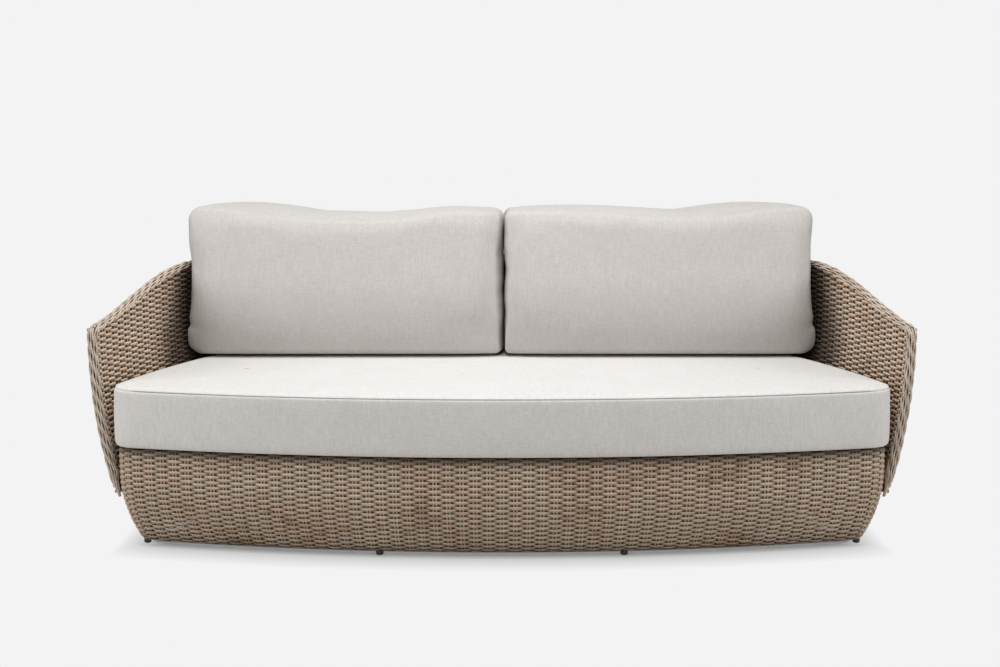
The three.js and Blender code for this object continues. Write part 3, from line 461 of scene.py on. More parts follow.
given = tree.nodes.new("NodeGroupInput").outputs
over_in = add(tree, "GeometryNodeInputNamedAttribute", {"Name": "over"}, data_type="FLOAT")
outward_in = add(tree, "GeometryNodeInputNamedAttribute",
                 {"Name": "outward"}, data_type="FLOAT_VECTOR")
reach = add(tree, "ShaderNodeMath", {0: over_in, 1: given["Wave Depth"]}, operation="MULTIPLY")
push = add(tree, "ShaderNodeVectorMath", {0: outward_in, "Scale": reach}, operation="SCALE")
where = add(tree, "GeometryNodeInputPosition")
noise = add(tree, "ShaderNodeTexNoise",
            {"Vector": where, "W": given["Seed"], "Scale": 34.0, "Detail": 1.0},
            noise_dimensions="4D")
centred = add(tree, "ShaderNodeVectorMath",
              {0: noise.outputs["Color"], 1: (0.5, 0.5, 0.5)}, operation="SUBTRACT")
rough = add(tree, "ShaderNodeVectorMath",
            {0: centred, "Scale": given["Unevenness"]}, operation="SCALE")
shift = add(tree, "ShaderNodeVectorMath", {0: push, 1: rough})
moved = add(tree, "GeometryNodeSetPosition", {"Geometry": given["Geometry"], "Offset": shift})
curves = add(tree, "GeometryNodeMeshToCurve", {"Mesh": moved})
faced = add(tree, "GeometryNodeSetCurveNormal",
            {"Curve": curves, "Normal": outward_in}, mode="FREE")
ring = add(tree, "GeometryNodeCurvePrimitiveCircle", {"Resolution": given["Sides"], "Radius": 0.5})
ring_size = add(tree, "ShaderNodeCombineXYZ",
                {"X": given["Thickness"], "Y": given["Height"], "Z": 1.0})
flat_ring = add(tree, "GeometryNodeTransform", {"Geometry": ring, "Scale": ring_size})
front_share = add(tree, "ShaderNodeMath", {0: over_in}, operation="ABSOLUTE")
narrow = add(tree, "ShaderNodeMapRange",
             {"Value": front_share, "To Min": given["Pinch"], "To Max": 1.0})
swept = add(tree, "GeometryNodeCurveToMesh",
            {"Curve": faced, "Profile Curve": flat_ring, "Scale": narrow, "Fill Caps": True})
smooth = add(tree, "GeometryNodeSetShadeSmooth", {"Geometry": swept})
real = add(tree, "GeometryNodeRealizeInstances", {"Geometry": smooth})
coated = add(tree, "GeometryNodeSetMaterial", {"Geometry": real, "Material": given["Material"]})
add(tree, "NodeGroupOutput", {"Geometry": coated})
print("strand tree has", len(tree.nodes), "nodes")

# %% Turning guides into a finished piece


def socket_id(tree, name):
    """The identifier of a tree's input with this name."""
    return next(item.identifier for item in tree.interface.items_tree
                if item.name == name and item.in_out == "INPUT")


def strands(name, lines, material, slot, body, replaced, **sizes):
    """Runs the strand tree on guide lines and keeps the result as a plain mesh."""
    guides = guide_object(name, lines)
    maker = guides.modifiers.new("strands", "NODES")
    maker.node_group = strand_tree
    for key, value in {**sizes, "Material": material}.items():
        maker[socket_id(strand_tree, key.replace("_", " "))] = value
    shaped = guides.evaluated_get(bpy.context.evaluated_depsgraph_get())
    mesh = bpy.data.meshes.new_from_object(shaped)
    guides.modifiers.remove(maker)
    guides.data = mesh
    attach(guides, body)
    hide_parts(*replaced)
    count = sum(len(p.vertices) - 2 for p in mesh.polygons)
    print(name, "has", count, "triangles in", len(lines), "strands")


# %% [markdown]
# ## Strand finish
# The strands are extruded polyethylene, streaked in the colour of weathered rattan. Every strand
# is drawn through one die, so its streaks run along it, and batches differ a little in tone: some
# pinkish, some grey or greenish. The finish reads each strand's own tone and run, adds streaks
# every few millimetres, and darkens what lies behind the stakes: painted shade of the recess, and
# dust. The guides carry a fourth number, a painted shade on the tub's top rows under the seat
# cushion and its lowest rows by the floor, and on the shell's inner face beside the back cushions.

# %% Strand material


def strand_material(name, colours, dust, roughness):
    """Extruded polyethylene strand: streaked colour, satin, with a fine lengthwise grain."""
    made = bpy.data.materials.new(name)
    tree = clear_tree(made)
    tone, run, over, painted_shade = (add(tree, "ShaderNodeAttribute", attribute_name=key).outputs["Fac"]
                             for key in ("tone", "run", "over", "dust"))
    place = add(tree, "ShaderNodeTexCoord").outputs["Object"]
    # colour drifts over a hand's width, and each row differs
    patch = add(tree, "ShaderNodeTexNoise", {"Vector": place, "Scale": 7.0, "Detail": 2.0})
    row_spot = add(tree, "ShaderNodeCombineXYZ", {"X": run, "Y": tone})
    stretch = add(tree, "ShaderNodeVectorMath",
                  {0: row_spot, 1: (14.0, 97.0, 1.0)}, operation="MULTIPLY")
    batch = add(tree, "ShaderNodeTexNoise",
                {"Vector": stretch, "Scale": 1.0, "Detail": 2.0, "Roughness": 0.6})
    both = add(tree, "ShaderNodeMath", {0: patch.outputs["Fac"], 1: batch.outputs["Fac"]})
    spread = add(tree, "ShaderNodeMapRange", {"Value": both, "From Min": 0.68, "From Max": 1.32})
    ramp = add(tree, "ShaderNodeValToRGB", {"Fac": spread})
    stops = ramp.color_ramp.elements
    while len(stops) < len(colours):
        stops.new(0.5)
    for i, (stop, colour) in enumerate(zip(stops, colours)):
        stop.position = i / (len(colours) - 1)
        stop.color = linear(colour)
    # streaks from the die, about 1.6 mm high and 6 mm long on a level strand
    grain_spot = add(tree, "ShaderNodeVectorMath",
                     {0: place, 1: (160.0, 160.0, 620.0)}, operation="MULTIPLY")
    grain = add(tree, "ShaderNodeTexNoise", {"Vector": grain_spot, "Scale": 1.0, "Detail": 2.0})
    streak = add(tree, "ShaderNodeMapRange", {"Value": grain.outputs["Fac"], "From Min": 0.3,
                                              "From Max": 0.7, "To Min": 0.86, "To Max": 1.14})
    streaked = add(tree, "ShaderNodeVectorMath",
                   {0: ramp.outputs["Color"], "Scale": streak}, operation="SCALE")
    # behind the stakes the colour turns towards the dust colour: painted shade of the recess, and
    # dust
    behind = add(tree, "ShaderNodeMapRange",
                 {"Value": over, "From Min": -0.92, "From Max": 0.15, "To Min": 1.0, "To Max": 0.0})
    recess_shade_and_dust = add(tree, "ShaderNodeMixRGB",
                {"Fac": behind, "Color1": streaked, "Color2": linear(dust)})
    # the guides' fourth number darkens the strand towards dark brown: painted shade under and
    # beside the cushions and near the floor
    with_painted_shade = add(tree, "ShaderNodeMixRGB",
                 {"Fac": painted_shade, "Color1": recess_shade_and_dust, "Color2": linear("33261c")})
    relief = add(tree, "ShaderNodeBump",
                 {"Height": grain.outputs["Fac"], "Strength": 0.35, "Distance": 0.0006})
    surface = add(tree, "ShaderNodeBsdfPrincipled",
                  {"Base Color": with_painted_shade, "IOR": 1.5, "Roughness": roughness, "Normal": relief,
                   "Specular IOR Level": 0.4})
    add(tree, "ShaderNodeOutputMaterial", {"Surface": surface})
    return made


STRAND_TONES = ["9c8570", "b49b85", "c8ae97", "bdac9a", "d2bba4", "b89a85"]
RIM_TONES = ["a3917f", "bcab9a", "cfc1b2", "c2b6a8", "b09f8e"]
STAKE_TONES = ["b8a28c", "cab69f", "c0b09c"]
# the dust colour is what lies behind the stakes turns to: painted shade of the recess, and dust
tub_strand = strand_material("extruded_polyethylene_strand", STRAND_TONES, dust="584534",
                             roughness=0.58)
rim_strand = strand_material("plaited_polyethylene_strand", RIM_TONES, dust="7d6650",
                             roughness=0.55)
stake_strand = strand_material("polyethylene_stake", STAKE_TONES, dust="7d6753", roughness=0.6)
print("strand finishes:", [m.name for m in (tub_strand, rim_strand, stake_strand)])

# %% [markdown]
# ## The tub's weave
# The tub's section is a line from its bottom lip, up the leaning wall and over the top under the
# cushion. Rows are laid every 7.3 mm along that line, and stakes stand in pairs every 35 mm. The
# tub is made in a front and a rear half, which keeps each piece a size that any program can open.

# %% Tub section
BASE_ROW_PITCH = 0.0073
WEAVE_SINK = 0.0043
BOTTOM_SAG = 0.001
BOTTOM_ROUND = 0.009
BOTTOM_LIP_REACH = 0.0315
TOP_LIP_REACH = 0.036


def base_section():
    """The tub's outer line from the bottom lip to the top lip, as outward and height."""
    top_out = -(BASE_TOP_INSET + BASE_TOP_ROUND)
    round_z = DECK - BASE_TOP_ROUND
    walls = np.linspace(BASE_BOTTOM + BOTTOM_ROUND, round_z, 60)
    turns = np.linspace(0, math.pi / 2, 9)[1:]
    foot_inset = base_inset(BASE_BOTTOM)
    out = [-(foot_inset + BOTTOM_LIP_REACH), -(foot_inset + 0.006)]
    z = [BASE_BOTTOM - BOTTOM_SAG, BASE_BOTTOM - BOTTOM_SAG]
    out += list(-base_inset(walls)) + list(top_out + BASE_TOP_ROUND * np.cos(turns))
    out.append(-TOP_LIP_REACH)
    z += list(walls) + list(round_z + BASE_TOP_ROUND * np.sin(turns)) + [DECK]
    return np.array(out, float), np.array(z, float)


def resampled(out, z, pitch, sink):
    """Points every pitch along a section line, sunk under its surface, with section normals."""
    lengths = np.concatenate([[0], np.cumsum(np.hypot(np.diff(out), np.diff(z)))])
    spots = np.linspace(0, lengths[-1], int(round(lengths[-1] / pitch)) + 1)
    o, h = np.interp(spots, lengths, out), np.interp(spots, lengths, z)
    slope_o, slope_z = np.gradient(o), np.gradient(h)
    size = np.hypot(slope_o, slope_z)
    n_out, n_up = slope_z / size, -slope_o / size
    return o - sink * n_out, h - sink * n_up, n_out, n_up


section = resampled(*base_section(), BASE_ROW_PITCH, WEAVE_SINK)
base_rows = len(section[0])
print("the tub has", base_rows, "rows")

# %% Tub rows
BASE_HALF_WAVE = HALF_LOOP / round(HALF_LOOP / 0.0349)
# how strongly the top rows under the seat cushion and the lowest rows by the floor are darkened:
# painted shade
SHADE_UNDER_CUSHION, SHADE_NEAR_FLOOR = 0.88, 0.4
POINTS_PER_HALF_WAVE = 4
random = np.random.default_rng(7)
row_tones = random.random(base_rows)
quarter = BASE_HALF_WAVE / POINTS_PER_HALF_WAVE
split = round((ARC_STARTS[2] + 0.3) / BASE_HALF_WAVE) * POINTS_PER_HALF_WAVE
loop_steps = round(HALF_LOOP / quarter)


def tub_painted_shade(place, z):
    """Painted shade on the top rows, under the seat cushion, and on the lowest rows, near the
    floor.
    """
    under_cushion = smooth_step(z, DECK - 0.0307, DECK - 0.0057)
    near_floor = 1 - smooth_step(z, 0.008, 0.05)
    return SHADE_UNDER_CUSHION * under_cushion + SHADE_NEAR_FLOOR * near_floor


def base_weave(steps):
    """Rows of the tub over a range of steps, each a quarter of a float long."""
    run = steps * quarter
    run = np.where(run > HALF_LOOP + 1e-9, run - 2 * HALF_LOOP, run)
    lines = []
    for i, (o, z, n_out, n_up) in enumerate(zip(*section)):
        over = weave_wave(math.pi * run / BASE_HALF_WAVE + math.pi * i)
        lines.append(wall_line(run, o, z, n_out, n_up, over, row_tones[i], dust=tub_painted_shade))
    return lines


base_sizes = {"Wave_Depth": 0.0032, "Thickness": 0.0024, "Height": 0.0091, "Pinch": 0.86,
              "Sides": 5, "Unevenness": 0.0016, "Seed": 3.0}
front_steps = np.arange(-split, split + 1)
rear_steps = np.arange(split, 2 * loop_steps - split + 1)
for name, steps in (("base_weave_front", front_steps), ("base_weave_rear", rear_steps)):
    strands(name, base_weave(steps), tub_strand, "strand", "frame", ["base_wicker"], **base_sizes)

# %% Tub stakes
STAKE_GAP = 0.0082


def stakes_on(lines_at, runs):
    """Pairs of upright guide lines at these runs."""
    lines = []
    for run in runs:
        for side in (-0.5, 0.5):
            lines.append(lines_at(run + side * STAKE_GAP))
    return lines


stake_section = resampled(*base_section(), pitch=0.011, sink=WEAVE_SINK)


def base_stake(run):
    o, z, n_out, n_up = stake_section
    runs = np.full(len(o), run)
    return wall_line(runs, o, z, n_out, n_up, over=0.5, tone=random.random(), dust=tub_painted_shade)


stake_runs = np.arange(-loop_steps // 4 + 1, loop_steps // 4 + 1) * BASE_HALF_WAVE
strands("base_stakes", stakes_on(base_stake, stake_runs), stake_strand, "strand", "frame",
        ["base_wicker"], Wave_Depth=0.0, Thickness=0.0042, Height=0.0046, Pinch=1.0, Sides=5,
        Unevenness=0.0008, Seed=5.0)

# %% [markdown]
# ## The shell's weave
# The shell is two woven faces over a hidden frame. Its rows stay level, so the rising rim cuts
# them off one after another, and the floats are a little shorter and thicker than the tub's: 33 mm
# between stakes and 7.5 mm between rows. Each face is made in four pieces, two arms and two back
# halves.

# %% Shell rows
SHELL_ROW_PITCH = 0.0075
shell_span = HALF_LOOP - ARM_FRONT
SHELL_HALF_WAVE = shell_span / round(shell_span / 0.0335)
SHELL_SINK = 0.0036
CUSHION_END_Y, CUSHION_END_LEAN, CUSHION_LEANS_FROM = 0.02, 0.35, 0.50
# how dark the painted shade beside the back cushions' ends gets
SHADE_BESIDE_CUSHION = 0.9
arm_steps = round((ARC_STARTS[3] + 0.12 - ARM_FRONT) / SHELL_HALF_WAVE) * POINTS_PER_HALF_WAVE
shell_steps = round(shell_span / SHELL_HALF_WAVE) * POINTS_PER_HALF_WAVE


def face_normal(face, sign, z):
    """The outward and the upward part of a face's normal at a height."""
    slope = (face(z + 0.001) - face(z - 0.001)) / 0.002
    length = np.hypot(1, slope)
    return sign / length, -sign * slope / length


def beside_cushion_shade(place, z):
    """Painted shade on the inner face where the back cushion's end lies against it, more so low
    down.
    """
    start = CUSHION_END_Y + CUSHION_END_LEAN * np.maximum(z - CUSHION_LEANS_FROM, 0)
    return SHADE_BESIDE_CUSHION * smooth_step(place[:, 1] - start, -0.02, 0.13)


def shell_weave(face, sign, low, first, last, side):
    """Rows of one face of the shell (sign 1 outside, -1 inside), over a range of steps."""
    lines = []
    step = SHELL_HALF_WAVE / POINTS_PER_HALF_WAVE
    for i in range(int((BACK_RIM - low) / SHELL_ROW_PITCH)):
        z = low + i * SHELL_ROW_PITCH
        steps = np.arange(first, last + 1)
        run = ARM_FRONT + steps * step
        # a row goes on until it is well inside the rim
        below = np.interp(run, arch_runs, arch_levels) + 0.003 >= z
        if below.sum() < 3:
            continue
        steps, run = steps[below], run[below]
        n_out, n_up = face_normal(face, sign, z)
        out = face(z) - SHELL_SINK * n_out
        over = weave_wave(math.pi * steps / POINTS_PER_HALF_WAVE + math.pi * i)
        tone = shell_tones[i % SHELL_TONES] + 0.13 * sign + 0.31 * (side < 0)
        lines.append(wall_line(side * run, out, z - SHELL_SINK * n_up, n_out, n_up, over, tone,
                               straight_front=True, dust=None if sign > 0 else beside_cushion_shade))
    return lines


SHELL_TONES = 97
shell_tones = random.random(SHELL_TONES)
shell_sizes = {"Wave_Depth": 0.0030, "Thickness": 0.0026, "Height": 0.0092, "Pinch": 0.84,
               "Sides": 5, "Unevenness": 0.0018, "Seed": 9.0}
# each face: its name, its outward distance, which way it looks, its lowest row, its stakes' foot
SHELL_FACES = [("outside", shell_outer, 1, SHELL_BOTTOM + 0.004, SHELL_BOTTOM),
               ("inside", shell_inner, -1, 0.226, 0.25)]
for face_name, face, sign, low, _ in SHELL_FACES:
    for side_name, side in [("right", 1), ("left", -1)]:
        for part_name, first, last in [("arm", 0, arm_steps), ("back", arm_steps, shell_steps)]:
            strands(f"shell_{part_name}_{face_name}_{side_name}",
                    shell_weave(face, sign, low, first, last, side), tub_strand, "strand",
                    "frame", ["shell_wicker"], **shell_sizes)

# %% Shell stakes
STAKE_POINTS = 20


def shell_stake(face, sign, low, run):
    """The guide of one upright, from the given height up to the rim."""
    top = float(np.interp(abs(run), arch_runs, arch_levels)) + 0.002
    z = np.linspace(low, top, STAKE_POINTS)
    n_out, n_up = face_normal(face, sign, z)
    runs = np.full(STAKE_POINTS, run)
    # over = -0.4 only darkens these stakes, halfway to the colour behind the stakes: painted shade
    # of the recess, and dust
    return wall_line(runs, face(z) - SHELL_SINK * n_out, z - SHELL_SINK * n_up, n_out, n_up,
                     over=-0.4, tone=random.random(), straight_front=True,
                     dust=None if sign > 0 else beside_cushion_shade)


for face_name, face, sign, _, foot in SHELL_FACES:
    lines = []
    for i in range(1, round(shell_span / SHELL_HALF_WAVE) + 1):
        run = ARM_FRONT + i * SHELL_HALF_WAVE
        for side in ((1, -1) if i * SHELL_HALF_WAVE < shell_span - 0.001 else (1,)):
            lines.append(shell_stake(face, sign, foot, side * run))
    strands(f"shell_stakes_{face_name}", lines, stake_strand, "strand", "frame", ["shell_wicker"],
            Wave_Depth=0.0, Thickness=0.0034, Height=0.0070, Pinch=1.0, Sides=5,
            Unevenness=0.0008, Seed=11.0)

# %% [markdown]
# ## Rim and arm bindings
# A bundle of strands runs along the whole rim, turns down at each arm tip and goes on as the
# binding of the arm's front edge, where it narrows to the lower point. Each strand slowly sways
# and dips over and under its neighbours, like a loose plait. A rim and a binding could be two
# pieces that butt together, but one run of guides gives the real turn at the tip.

# %% Rim guides
BINDING_DEPTH = 0.013
TIP_TURN = 0.022
TIP_DROP = 0.007
TIP_WIDTH, TIP_WIDENS = 0.55, 10
TURN_REACH = 0.6
RIM_STEP = 0.006


def rim_path():
    """Frames along the right half of the border, from the arm's lower tip to the middle of the
    back: place, height, outward direction, how far it faces forward, half width and depth."""
    frames = []
    top = float(arch_levels[0])
    for z in np.arange(SHELL_BOTTOM - TIP_DROP, top - TIP_TURN, RIM_STEP):
        # the lower tip narrows from its outer side
        narrow = min(1, TIP_WIDTH + (z - SHELL_BOTTOM + TIP_DROP) * TIP_WIDENS)
        half = (shell_outer(z) - shell_inner(z)) / 2 * narrow
        place, normal = on_plan(ARM_FRONT, shell_inner(z) + half, True)
        frames.append((place, z, normal, 1.0, half, BINDING_DEPTH * narrow))
    for angle in np.linspace(0, math.pi / 2, 7)[:-1]:
        z = top - TIP_TURN + TIP_TURN * math.sin(angle)
        out = float(shell_outer(top) + shell_inner(top)) / 2
        run = ARM_FRONT + TIP_TURN * (1 - math.cos(angle)) * TURN_REACH
        place, normal = on_plan(run, out, True)
        frames.append((place, z, normal, math.cos(angle), RIM_RADIUS, BINDING_DEPTH))
    for run in np.arange(ARM_FRONT + TIP_TURN * TURN_REACH, HALF_LOOP, RIM_STEP):
        z = float(np.interp(run, arch_runs, arch_levels))
        place, normal = on_plan(run, float(shell_outer(z) + shell_inner(z)) / 2, True)
        frames.append((place, z, normal, 0.0, RIM_RADIUS, RIM_RADIUS))
    return frames


place, level, normal, forward, widths, depths = (np.array(v) for v in zip(*rim_path()))
middle = np.column_stack([place, level])
across = np.column_stack([normal, np.zeros(len(normal))])
travel = np.column_stack([normal[:, 1], -normal[:, 0], np.zeros(len(normal))])
rise = np.sqrt(1 - forward ** 2)[:, None] * np.array([0, 0, 1.0]) + forward[:, None] * travel
mirror = np.array([-1.0, 1.0, 1.0])


def both_sides(values, flip=True):
    """The right half and its mirror image as one run, from the right tip to the left tip."""
    other = values[::-1] * mirror if flip else values[::-1]
    return np.concatenate([values, other])


middle, across, rise = both_sides(middle), both_sides(across), both_sides(rise)
widths, depths = both_sides(widths, False), both_sides(depths, False)
ways = np.concatenate([[0], np.cumsum(np.linalg.norm(np.diff(middle, axis=0), axis=1))])
print("the border is", round(float(ways[-1]), 2), "m long with", len(ways), "frames")

# %% Rim strands
RIM_STRANDS = 12
SWAY_ANGLE = 0.21
SWAY_REPEAT = 0.085
STEADY_TIP, SWAYING_FROM = 0.02, 0.10
RIM_SINK = 0.0032
lines = []
for i in range(RIM_STRANDS):
    share = (i + 0.5) / RIM_STRANDS
    phase = 2 * math.pi * ways / SWAY_REPEAT + i * math.pi * 0.8
    sway = SWAY_ANGLE * np.sin(phase)
    sway *= smooth_step(np.minimum(ways, ways[-1] - ways), STEADY_TIP, SWAYING_FROM)
    angle = math.pi * (-0.10 + 1.20 * share) + sway
    over = np.cos(phase)
    spoke = across * (np.cos(angle) * widths)[:, None] + rise * (np.sin(angle) * depths)[:, None]
    outward = spoke / np.linalg.norm(spoke, axis=1)[:, None]
    lines.append({"points": middle + spoke * (1 - RIM_SINK / widths)[:, None], "outward": outward,
                  "over": over, "tone": random.random(), "run": ways})
strands("rim_and_bindings", lines, rim_strand, "binding", "frame",
        ["shell_wicker", "arm_binding_right", "arm_binding_left"], Wave_Depth=0.0013,
        Thickness=0.0042, Height=0.0053, Pinch=0.82, Sides=6, Unevenness=0.0022, Seed=21.0)

# %% Hem strands
HEM_RISE = 0.0034
HEM_TWIST = 0.05
hem_runs = np.arange(ARM_FRONT, HALF_LOOP, 0.007)
lines = []
for sign in (1, -1):
    turn = 2 * math.pi * hem_runs / HEM_TWIST + (0 if sign > 0 else math.pi)
    for side in (1, -1):
        z = SHELL_BOTTOM + HEM_RISE
        out = (shell_outer(z) + shell_inner(z)) / 2 + 0.0028 * np.cos(turn)
        lines.append(wall_line(side * hem_runs, out, z + 0.0014 * np.sin(turn), 1.0, 0.0,
                               over=0.3, tone=random.random(), straight_front=True))
strands("shell_hem_strands", lines, rim_strand, "strand", "frame", ["shell_wicker"],
        Wave_Depth=0.0, Thickness=0.0060, Height=0.0056, Pinch=1.0, Sides=6, Unevenness=0.0008,
        Seed=23.0)

# %% [markdown]
# ## Cushion covers
# Each cushion is a sewn cover over a filling. A closed grid of rings follows the space that the
# frame leaves for it, a cloth simulation then blows the cover up between its sewn lines, and the
# seams are pressed in afterwards. Sculpting by hand would do, but the simulation finds the small
# puckers at corners by itself. Rings have matching points in front and behind, so that the last
# ring closes with plain four-sided faces.

# %% Rings to a closed mesh


def closed_rings(name, rings, pairs):
    """Joins rings of points into a closed mesh. pairs lists, for the first and last ring, the
    point indices on either side of its middle line, so that the caps are rows of faces."""
    count = len(rings[0])
    points = np.concatenate(rings)
    faces = []
    for r in range(len(rings) - 1):
        for i in range(count):
            j = (i + 1) % count
            faces.append((r * count + i, r * count + j, (r + 1) * count + j, (r + 1) * count + i))
    lows, highs = pairs
    for base, flip in ((0, True), ((len(rings) - 1) * count, False)):
        for k in range(len(lows) - 1):
            face = (base + lows[k], base + lows[k + 1], base + highs[k + 1], base + highs[k])
            faces.append(face[::-1] if flip else face)
        ends = [[i % count for i in range(lows[-1], highs[-1] + 1)],
                [i % count for i in range(highs[0], lows[0] + count + 1)]]
        for end in ends:
            face = tuple(base + i for i in end)
            faces.append(face[::-1] if flip else face)
    made = mesh_object(name, points, faces)
    body = bmesh.new()
    body.from_mesh(made.data)
    bmesh.ops.recalc_face_normals(body, faces=body.faces)
    wide = [f for f in body.faces if len(f.verts) > 4]
    bmesh.ops.triangulate(body, faces=wide)
    body.to_mesh(made.data)
    body.free()
    return made


print("ring helper ready")

# %% [markdown]
# ## Filling a cover
# A filling presses a cover outward everywhere. The cloth simulation does the same with a pressure
# inside the closed mesh, while its sewn lines are held. Run plainly it leaves folds as fine as the
# mesh, which foam and fibre would smooth out, so each point's move is averaged with those around
# it and kept under a cap. The cap keeps the cushions off the frame round them.

# %% Filling a cover


def places_of(cover):
    places = np.empty(len(cover.data.vertices) * 3)
    cover.data.vertices.foreach_get("co", places)
    return places.reshape(-1, 3)


def set_places(cover, places):
    cover.data.vertices.foreach_set("co", places.ravel())
    cover.data.update()


EVENING_REACH = 0.024
AT_ONCE = 400


def evened(cover, places, move):
    """The filling evens out small folds: each move becomes the mean of those near it that face
    the same way, weighted by the cloth's area there."""
    normals = np.zeros((len(places), 3))
    area = np.zeros(len(places))
    for face in cover.data.polygons:
        share = face.area / len(face.vertices)
        area[list(face.vertices)] += share
        normals[list(face.vertices)] += np.array(face.normal) * share
    normals /= np.linalg.norm(normals, axis=1)[:, None]
    result = np.empty_like(move)
    for first in range(0, len(places), AT_ONCE):
        part = slice(first, first + AT_ONCE)
        apart = ((places[part, None, :] - places[None, :, :]) ** 2).sum(-1)
        weight = np.exp(-apart / (2 * EVENING_REACH ** 2)) * area
        weight *= np.clip(normals[part] @ normals.T, 0, 1)
        result[part] = weight @ move / weight.sum(1)[:, None]
    return result


FILLING = {"quality": 6, "mass": 0.35, "tension_stiffness": 25, "compression_stiffness": 25,
           "shear_stiffness": 12, "bending_stiffness": 1.5, "use_pressure": True}
FILL_FRAMES = 20


def blow_up(cover, rings, count, cap, pressure):
    """Fills a cover with a cloth simulation. The points of the given rings stay, and no point
    moves further than the cap."""
    rest = places_of(cover)
    group = cover.vertex_groups.new(name="sewn")
    group.add([ring * count + i for ring in rings for i in range(count)], 1.0, "REPLACE")
    cloth = cover.modifiers.new("filling", "CLOTH")
    for key, value in FILLING.items():
        setattr(cloth.settings, key, value)
    cloth.settings.uniform_pressure_force = pressure
    cloth.settings.effector_weights.gravity = 0
    cloth.settings.vertex_group_mass = "sewn"
    cloth.collision_settings.use_collision = False
    cloth.point_cache.frame_end = FILL_FRAMES
    scene = bpy.context.scene
    for number in range(1, FILL_FRAMES + 1):
        scene.frame_set(number)
    shaped = cover.evaluated_get(bpy.context.evaluated_depsgraph_get())
    blown = np.empty(len(rest) * 3)
    shaped.data.vertices.foreach_get("co", blown)
    cover.modifiers.remove(cloth)
    scene.frame_set(1)
    move = evened(cover, rest, blown.reshape(-1, 3) - rest)
    length = np.linalg.norm(move, axis=1)
    move *= np.minimum(1, cap / np.maximum(length, 1e-9))[:, None]
    set_places(cover, rest + move)
    print(cover.name, "pushed out by up to", round(float(length.max()) * 1000, 1), "mm, kept to",
          cap * 1000)


print("filling helpers ready,", FILL_FRAMES, "frames of cloth simulation each")

# %% [markdown]
# ## Seat cushion
# One long cushion of firm foam with a bowed front. Its cover is a top panel, a bottom panel and a
# boxing strip round the side, sewn together along a fine line just under the top edge. A box with
# a wide bevel would be quicker, but rings of points put the seam where the panels really meet.

# %% Seat outline
SEAT_BOTTOM = DECK + 0.0003
SEAT_HEIGHT = 0.156
SEAT_TOP = SEAT_BOTTOM + SEAT_HEIGHT
SEAT_SPINE_HALF = 0.70
SEAT_SPINE_Y = -0.023
SEAT_DRAWN_IN = -0.009

dense = np.linspace(0, HALF_LOOP, 4000)
dense_x = on_plan(dense, np.full(4000, SEAT_DRAWN_IN))[0][:, 0]
front_part = dense < ARC_STARTS[1]
rear_part = dense > ARC_STARTS[3] + ARC_LENGTHS[3] * 0.5
spine_x = np.linspace(0, SEAT_SPINE_HALF, 33)
front_runs = np.interp(spine_x, dense_x[front_part], dense[front_part])
rear_runs = np.interp(spine_x, dense_x[rear_part][::-1], dense[rear_part][::-1])
side_runs = np.linspace(front_runs[-1], rear_runs[-1], 58)[1:-1]
corner_runs = np.linspace(ARC_STARTS[1], ARC_STARTS[2], 7)
side_runs = np.sort(np.concatenate([side_runs, corner_runs]))
half_runs = np.concatenate([front_runs, side_runs, rear_runs[::-1]])
seat_runs = np.concatenate([half_runs, -half_runs[1:-1][::-1]])
seat_count = len(seat_runs)


def seat_ring(out, z, share):
    place, _ = on_plan(seat_runs, np.full(seat_count, out))
    spine = np.column_stack([np.clip(place[:, 0], -SEAT_SPINE_HALF, SEAT_SPINE_HALF),
                             np.full(seat_count, SEAT_SPINE_Y)])
    return np.column_stack([place * (1 - share) + spine * share, np.full(seat_count, z)])


print("each ring of the seat has", seat_count, "points")

# %% Seat rings
# each ring: outward, height, and how far it has shrunk towards the seat's middle line
SEAM_Z = SEAT_TOP - 0.0065
SEAT_CROWN = 0.003
seat_profile = [
    (-0.020, SEAT_BOTTOM, 0.93), (-0.020, SEAT_BOTTOM, 0.75), (-0.020, SEAT_BOTTOM, 0.5),
    (-0.020, SEAT_BOTTOM, 0.25), (-0.020, SEAT_BOTTOM, 0.08), (-0.0190, SEAT_BOTTOM - 0.0004, 0.0),
    (-0.0135, SEAT_BOTTOM - 0.0024, 0), (-0.0085, SEAT_BOTTOM - 0.0026, 0),
    (-0.0048, SEAT_BOTTOM + 0.0004, 0), (-0.0030, SEAT_BOTTOM + 0.0065, 0),
    (-0.0022, SEAT_BOTTOM + 0.018, 0), (-0.0020, SEAT_BOTTOM + 0.036, 0),
    (-0.0021, SEAT_BOTTOM + 0.056, 0), (-0.0024, SEAT_BOTTOM + 0.076, 0),
    (-0.0028, SEAT_BOTTOM + 0.096, 0), (-0.0033, SEAT_BOTTOM + 0.114, 0),
    (-0.0039, SEAT_BOTTOM + 0.130, 0), (-0.0046, SEAM_Z - 0.0070, 0),
    (-0.0056, SEAM_Z - 0.0022, 0), (-0.0064, SEAM_Z, 0), (-0.0074, SEAM_Z + 0.0020, 0),
    (-0.0105, SEAM_Z + 0.0052, 0), (-0.0175, SEAT_TOP + 0.0002, 0), (-0.026, SEAT_TOP + 0.0008, 0),
]
crown_shares = [(0.05, 0.3), (0.1, 0.5), (0.16, 0.7), (0.22, 0.85), (0.3, 0.95), (0.4, 1.0),
                (0.52, 1.0), (0.64, 1.0), (0.76, 1.0), (0.86, 1.0), (0.94, 1.0)]
seat_profile += [(-0.026, SEAT_TOP + 0.0008 + (SEAT_CROWN - 0.0008) * crown, share)
                 for share, crown in crown_shares]
SEAM_RING = 19
seat_rings = [seat_ring(*spot) for spot in seat_profile]
half_count = len(half_runs)
front_ids = list(range(len(spine_x) - 1, 0, -1))
lows = [seat_count - i for i in front_ids] + [0] + front_ids[::-1]
rear_ids = [half_count - 1 - i for i in front_ids]
